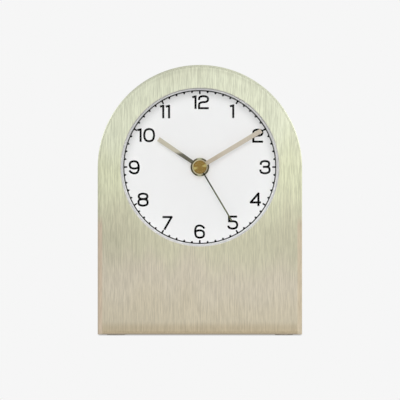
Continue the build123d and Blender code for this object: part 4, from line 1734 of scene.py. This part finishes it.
@dataclass
class Studio:
    """Plain pale floor, soft lamps and the camera of the photograph."""

    lowest: Vector
    highest: Vector
    axis_height: float
    background_level: int = 246
    photo_frame: int = 400
    case_width_pixels: float = 204.6
    dial_above_middle_pixels: float = 32.95
    dial_beside_middle_pixels: float = -0.1
    camera_distance: float = 2.5
    camera_reach: float = 50.0
    sensor_width: float = 36.0
    world_level: float = 0.3
    floor_reach: float = 6.0
    floor_grey: float = 0.8
    shadow_reach: float = 0.03
    shadow_share: float = 0.52
    shadow_edges: tuple[float, float] = (0.02, 0.4)
    lamps: tuple[Softbox, ...] = (
        Softbox("key_softbox", (0.0, -2.0, 0.82), (1.1, 1.2), 2.4, in_reflections=False),
        Softbox(
            "fill_softbox",
            (0.0, -2.4, 0.1),
            (1.2, 1.2),
            4.7,
            in_reflections=False,
            casts_shadow=False,
        ),
        Softbox("front_softbox", (0.0, -3.2, 1.1), (2.8, 2.0), 0.35),
        Softbox("left_rear_softbox", (-1.2, 0.9, 0.6), (0.7, 0.9), 1.6),
        Softbox("right_rear_softbox", (1.2, 0.9, 0.5), (0.7, 0.9), 1.2),
        Softbox("back_softbox", (1.1, 2.2, 1.5), (0.9, 0.9), 14.0, in_reflections=False),
    )

    def seen_directly(self, canvas: Canvas) -> Socket:
        """Marks the rays that see the background itself.

        Args:
            canvas: The canvas of the floor or the world.

        Returns:
            One for camera, glossy and transmission rays.
        """
        rays = canvas.add("LightPath").outputs
        seen = canvas.math("MAXIMUM", rays["Is Camera Ray"], rays["Is Glossy Ray"])
        return canvas.math("MAXIMUM", seen, rays["Is Transmission Ray"])

    def make_world(self) -> None:
        """Lights the scene evenly from all round."""
        world = bpy.data.worlds.new("studio_world")
        bpy.context.scene.world = world
        world.use_nodes = True
        canvas = Canvas(world.node_tree)
        level = linear((self.background_level,) * 3)
        shown = canvas.add("Background", {"Color": level, "Strength": 1.0})
        light = canvas.add("Background", {"Color": (1, 1, 1, 1), "Strength": self.world_level})
        share = self.seen_directly(canvas)
        mixed = canvas.add("MixShader", {0: share, 1: light.outputs[0], 2: shown.outputs[0]})
        canvas.add("OutputWorld", {"Surface": mixed.outputs[0]})

    def make_floor(self) -> None:
        """Lays the pale floor, which keeps the clock's soft shadow and is clear from beneath."""
        mesh = bmesh.new()
        bmesh.ops.create_grid(mesh, x_segments=1, y_segments=1, size=self.floor_reach)
        data = bpy.data.meshes.new("floor")
        mesh.to_mesh(data)
        mesh.free()
        floor = bpy.data.objects.new("floor", data)
        bpy.context.scene.collection.objects.link(floor)
        floor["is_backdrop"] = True
        material = bpy.data.materials.new("pale_floor")
        material.use_nodes = True
        canvas = Canvas(material.node_tree)
        level = linear((self.background_level,) * 3)
        shade = canvas.add("AmbientOcclusion", {"Distance": self.shadow_reach}, samples=16)
        open_share = shade.outputs["AO"]
        strength = canvas.spread(open_share, self.shadow_edges, (1 - self.shadow_share, 1.0))
        camera = canvas.add("LightPath").outputs["Is Camera Ray"]
        strength = canvas.math("MAXIMUM", strength, canvas.math("SUBTRACT", 1.0, camera))
        shown = canvas.add("Emission", {"Color": level, "Strength": strength})
        plain = canvas.add("BsdfDiffuse", {"Color": (*(self.floor_grey,) * 3, 1.0)})
        share = self.seen_directly(canvas)
        mixed = canvas.add("MixShader", {0: share, 1: plain.outputs[0], 2: shown.outputs[0]})
        beneath = canvas.add("NewGeometry").outputs["Backfacing"]
        clear = canvas.add("BsdfTransparent").outputs[0]
        mixed = canvas.add("MixShader", {0: beneath, 1: mixed.outputs[0], 2: clear})
        canvas.add("OutputMaterial", {"Surface": mixed.outputs[0]})
        data.materials.append(material)

    def make_camera(self) -> None:
        """Puts a long lens square to the front, as in the photograph."""
        width = self.highest.x - self.lowest.x
        pixel = width / self.case_width_pixels
        data = bpy.data.cameras.new("camera")
        data.sensor_width = self.sensor_width
        data.lens = data.sensor_width * self.camera_distance / (pixel * self.photo_frame)
        data.clip_end = self.camera_reach
        camera = bpy.data.objects.new("camera", data)
        height = self.axis_height - self.dial_above_middle_pixels * pixel
        side = -self.dial_beside_middle_pixels * pixel
        camera.location = (side, self.lowest.y - self.camera_distance, height)
        camera.rotation_euler = (math.pi / 2, 0, 0)
        bpy.context.scene.collection.objects.link(camera)
        bpy.context.scene.camera = camera

    def build(self) -> None:
        """Makes the camera, the floor, the world and the lamps."""
        self.make_camera()
        self.make_floor()
        self.make_world()
        middle = (self.lowest + self.highest) / 2
        for lamp in self.lamps:
            lamp.build(middle)
        bpy.context.scene.view_settings.view_transform = "Standard"


@dataclass
class Wardrobe:
    """All the finishes of the clock."""

    front: Finish = ChampagneFront(
        "champagne_front", (205, 204, 180), 0.36, cell=0.38 * MM, tone_share=0.185
    )
    band: Finish = ChampagneBand(
        "champagne_band", (208, 205, 180), 0.34, cell=0.5 * MM, tone_share=0.16
    )
    lens: Finish = ClearLens("clear_lens", (250, 252, 252), 0.02, relief=0.0, tone_share=0.0)
    ring: Finish = ShadedRing("white_ring", (254, 254, 254), 0.55, tone_share=0.0)
    dial: Finish = DialPaint(
        "dial_white", (240, 240, 240), 0.5, cell=0.2 * MM, tone_share=0.006, relief=0.001 * MM
    )
    ink: Finish = Finish(
        "dial_ink", (4, 4, 4), 0.8, cell=0.1 * MM, relief=0.002 * MM, specular=0.04
    )
    black: Finish = Finish("black_moulding", (42, 42, 44), 0.52, relief=0.012 * MM)
    movement: Finish = Finish(
        "movement_moulding", (36, 36, 38), 0.5, cell=0.22 * MM, relief=0.012 * MM
    )
    signs: Finish = Finish("sign_paint", (150, 150, 148), 0.6, cell=0.1 * MM, relief=0.002 * MM)
    rubber: Finish = Finish("foot_rubber", (168, 164, 158), 0.85, cell=0.5 * MM, relief=0.03 * MM)
    washer: Finish = Finish("washer_rubber", (30, 30, 31), 0.8, cell=0.4 * MM, relief=0.02 * MM)
    natural: Finish = Finish("natural_moulding", (228, 224, 208), 0.42)
    gear: Finish = Finish(
        "gear_acetal", (236, 234, 226), 0.3, cell=0.6 * MM, relief=0.002 * MM, coat=0.2
    )
    screw: Finish = Spun("screw_zinc", (186, 187, 190), 0.32, tone_share=0.08, anisotropy=0.2)
    bush: Finish = Spun("bush_brass", (214, 180, 108), 0.26)
    cap: Finish = Spun("cap_brass", (138, 113, 60), 0.3, tone_share=0.08, fan=CAP_PAINTED_SHEEN)
    iron: Finish = Finish("motor_iron", (170, 170, 172), 0.38, metallic=1.0, tone_share=0.08)
    copper: Finish = WoundWire(
        "winding_copper", (196, 106, 56), 0.28, metallic=1.0, relief=0.03 * MM
    )
    board: Finish = SolderMask("board_green", (34, 96, 54), 0.35, coat=0.4)
    can: Finish = Finish("crystal_can", (206, 206, 208), 0.2, metallic=1.0, relief=0.001 * MM)
    resin: Finish = Finish("chip_resin", (16, 16, 17), 0.22, cell=1.2 * MM, relief=0.02 * MM)
    nickel: Finish = Brushed("contact_nickel", (200, 196, 184), 0.28)
    cell: Finish = CellWrap(
        "cell_wrap", (40, 42, 46), 0.3, tone_share=0.03, relief=0.001 * MM, coat=0.5
    )
    magnet: Finish = Finish("magnet_dark", (70, 70, 74), 0.4, metallic=0.8)
    # The hands darken towards the hub with painted dark reflection, and the hour and minute hubs
    # carry painted highlights.
    hour: Finish = HandMetal("hour_hand_metal", (197, 191, 172), 0.4, turn=HOUR_TURN, fan=HUB_PAINTED_SHEEN)
    minute: Finish = HandMetal(
        "minute_hand_metal",
        (201, 191, 175),
        0.4,
        turn=MINUTE_TURN,
        dark_colour=(190, 178, 160),
        dark_end=10.0 * MM,
        light_start=17.0 * MM,
        slant_share=0.0,
        fan=MINUTE_PAINTED_SHEEN,
        hub_colour=(192, 182, 152),
        hub_radius=4.4 * MM,
    )
    seconds: Finish = HandMetal(
        "seconds_hand_metal",
        (98, 99, 70),
        0.42,
        turn=SECONDS_TURN,
        dark_colour=(24, 28, 6),
        dark_end=6.0 * MM,
        light_start=20.0 * MM,
        slant_share=0.0,
    )
    knob: Finish = Finish("knob_moulding", (34, 34, 36), 0.48, cell=0.2 * MM, relief=0.008 * MM)

    def dress_nodes(self, nodes: dict[str, bpy.types.Object]) -> None:
        """Dresses every CAD node.

        Args:
            nodes: The frame's nodes.
        """
        dress(nodes, self.front, "front_fascia")
        dress(nodes, self.band, "case_band")
        dress(nodes, self.lens, "lens")
        dress(nodes, self.ring, "lens_ring")
        dress(nodes, self.dial, "dial_plate")
        dress(nodes, self.black, "inner_frame", "rear_cover", "base_plate")
        dress(nodes, self.movement, "movement_front_case", "movement_rear_case")
        dress(nodes, self.rubber, "foot_pads")
        dress(nodes, self.washer, "mounting_washer")
        dress(nodes, self.natural, "middle_plate", "coil_bobbin")
        running = ("rotor_pinion", "intermediate_wheel", "seconds_wheel", "third_wheel")
        driven = ("centre_wheel", "minute_tube", "minute_wheel", "hour_wheel", "setting_arbor")
        dress(nodes, self.gear, *running, *driven)
        dress(nodes, self.screw, "rear_cover_screws", "base_plate_screws", "motor_screws")
        dress(nodes, self.bush, "threaded_bush", "ring_nut")
        dress(nodes, self.cap, "seconds_cap")
        dress(nodes, self.iron, "stator", "coil_core")
        dress(nodes, self.copper, "coil_winding")
        dress(nodes, self.board, "circuit_board")
        dress(nodes, self.can, "quartz_crystal")
        dress(nodes, self.resin, "driver_chip")
        dress(nodes, self.nickel, "positive_contact", "negative_contact", "clutch_spring")
        dress(nodes, self.cell, "battery_cell")
        dress(nodes, self.magnet, "rotor_magnet")
        dress(nodes, self.hour, "hour_hand")
        dress(nodes, self.minute, "minute_hand")
        dress(nodes, self.seconds, "seconds_hand")
        dress(nodes, self.knob, "setting_knob")


def main() -> None:
    """Builds the clock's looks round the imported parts."""
    logging.basicConfig(level=logging.INFO, format="%(name)s: %(message)s")
    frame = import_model()
    cad_box = [list(corner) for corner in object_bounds()]
    nodes = frame["nodes"]
    lens_low, lens_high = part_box("lens")
    axis = (lens_low + lens_high) / 2
    Studio(Vector(cad_box[0]), Vector(cad_box[1]), axis.z).build()
    wardrobe = Wardrobe()
    wardrobe.dress_nodes(nodes)
    prints = DialPrint(axis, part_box("dial_plate")[0].y, wardrobe.ink)
    prints.make_numerals()
    prints.make_track()
    rear, under = nodes["rear_cover_screws"], nodes["base_plate_screws"]
    downward, short_shank = Vector((0, 0, -1)), 6.8 * MM
    screws = (
        ScrewSet.on_node(rear, "rear_screws_modelled", DEPTH_AXIS, wardrobe.screw),
        ScrewSet.on_node(
            under, "base_screws_modelled", downward, wardrobe.screw, shank_length=short_shank
        ),
    )
    for screw_set in screws:
        screw_set.build()
    BackSigns.on_movement(wardrobe.signs).build()


if __name__ == "__main__":
    main()
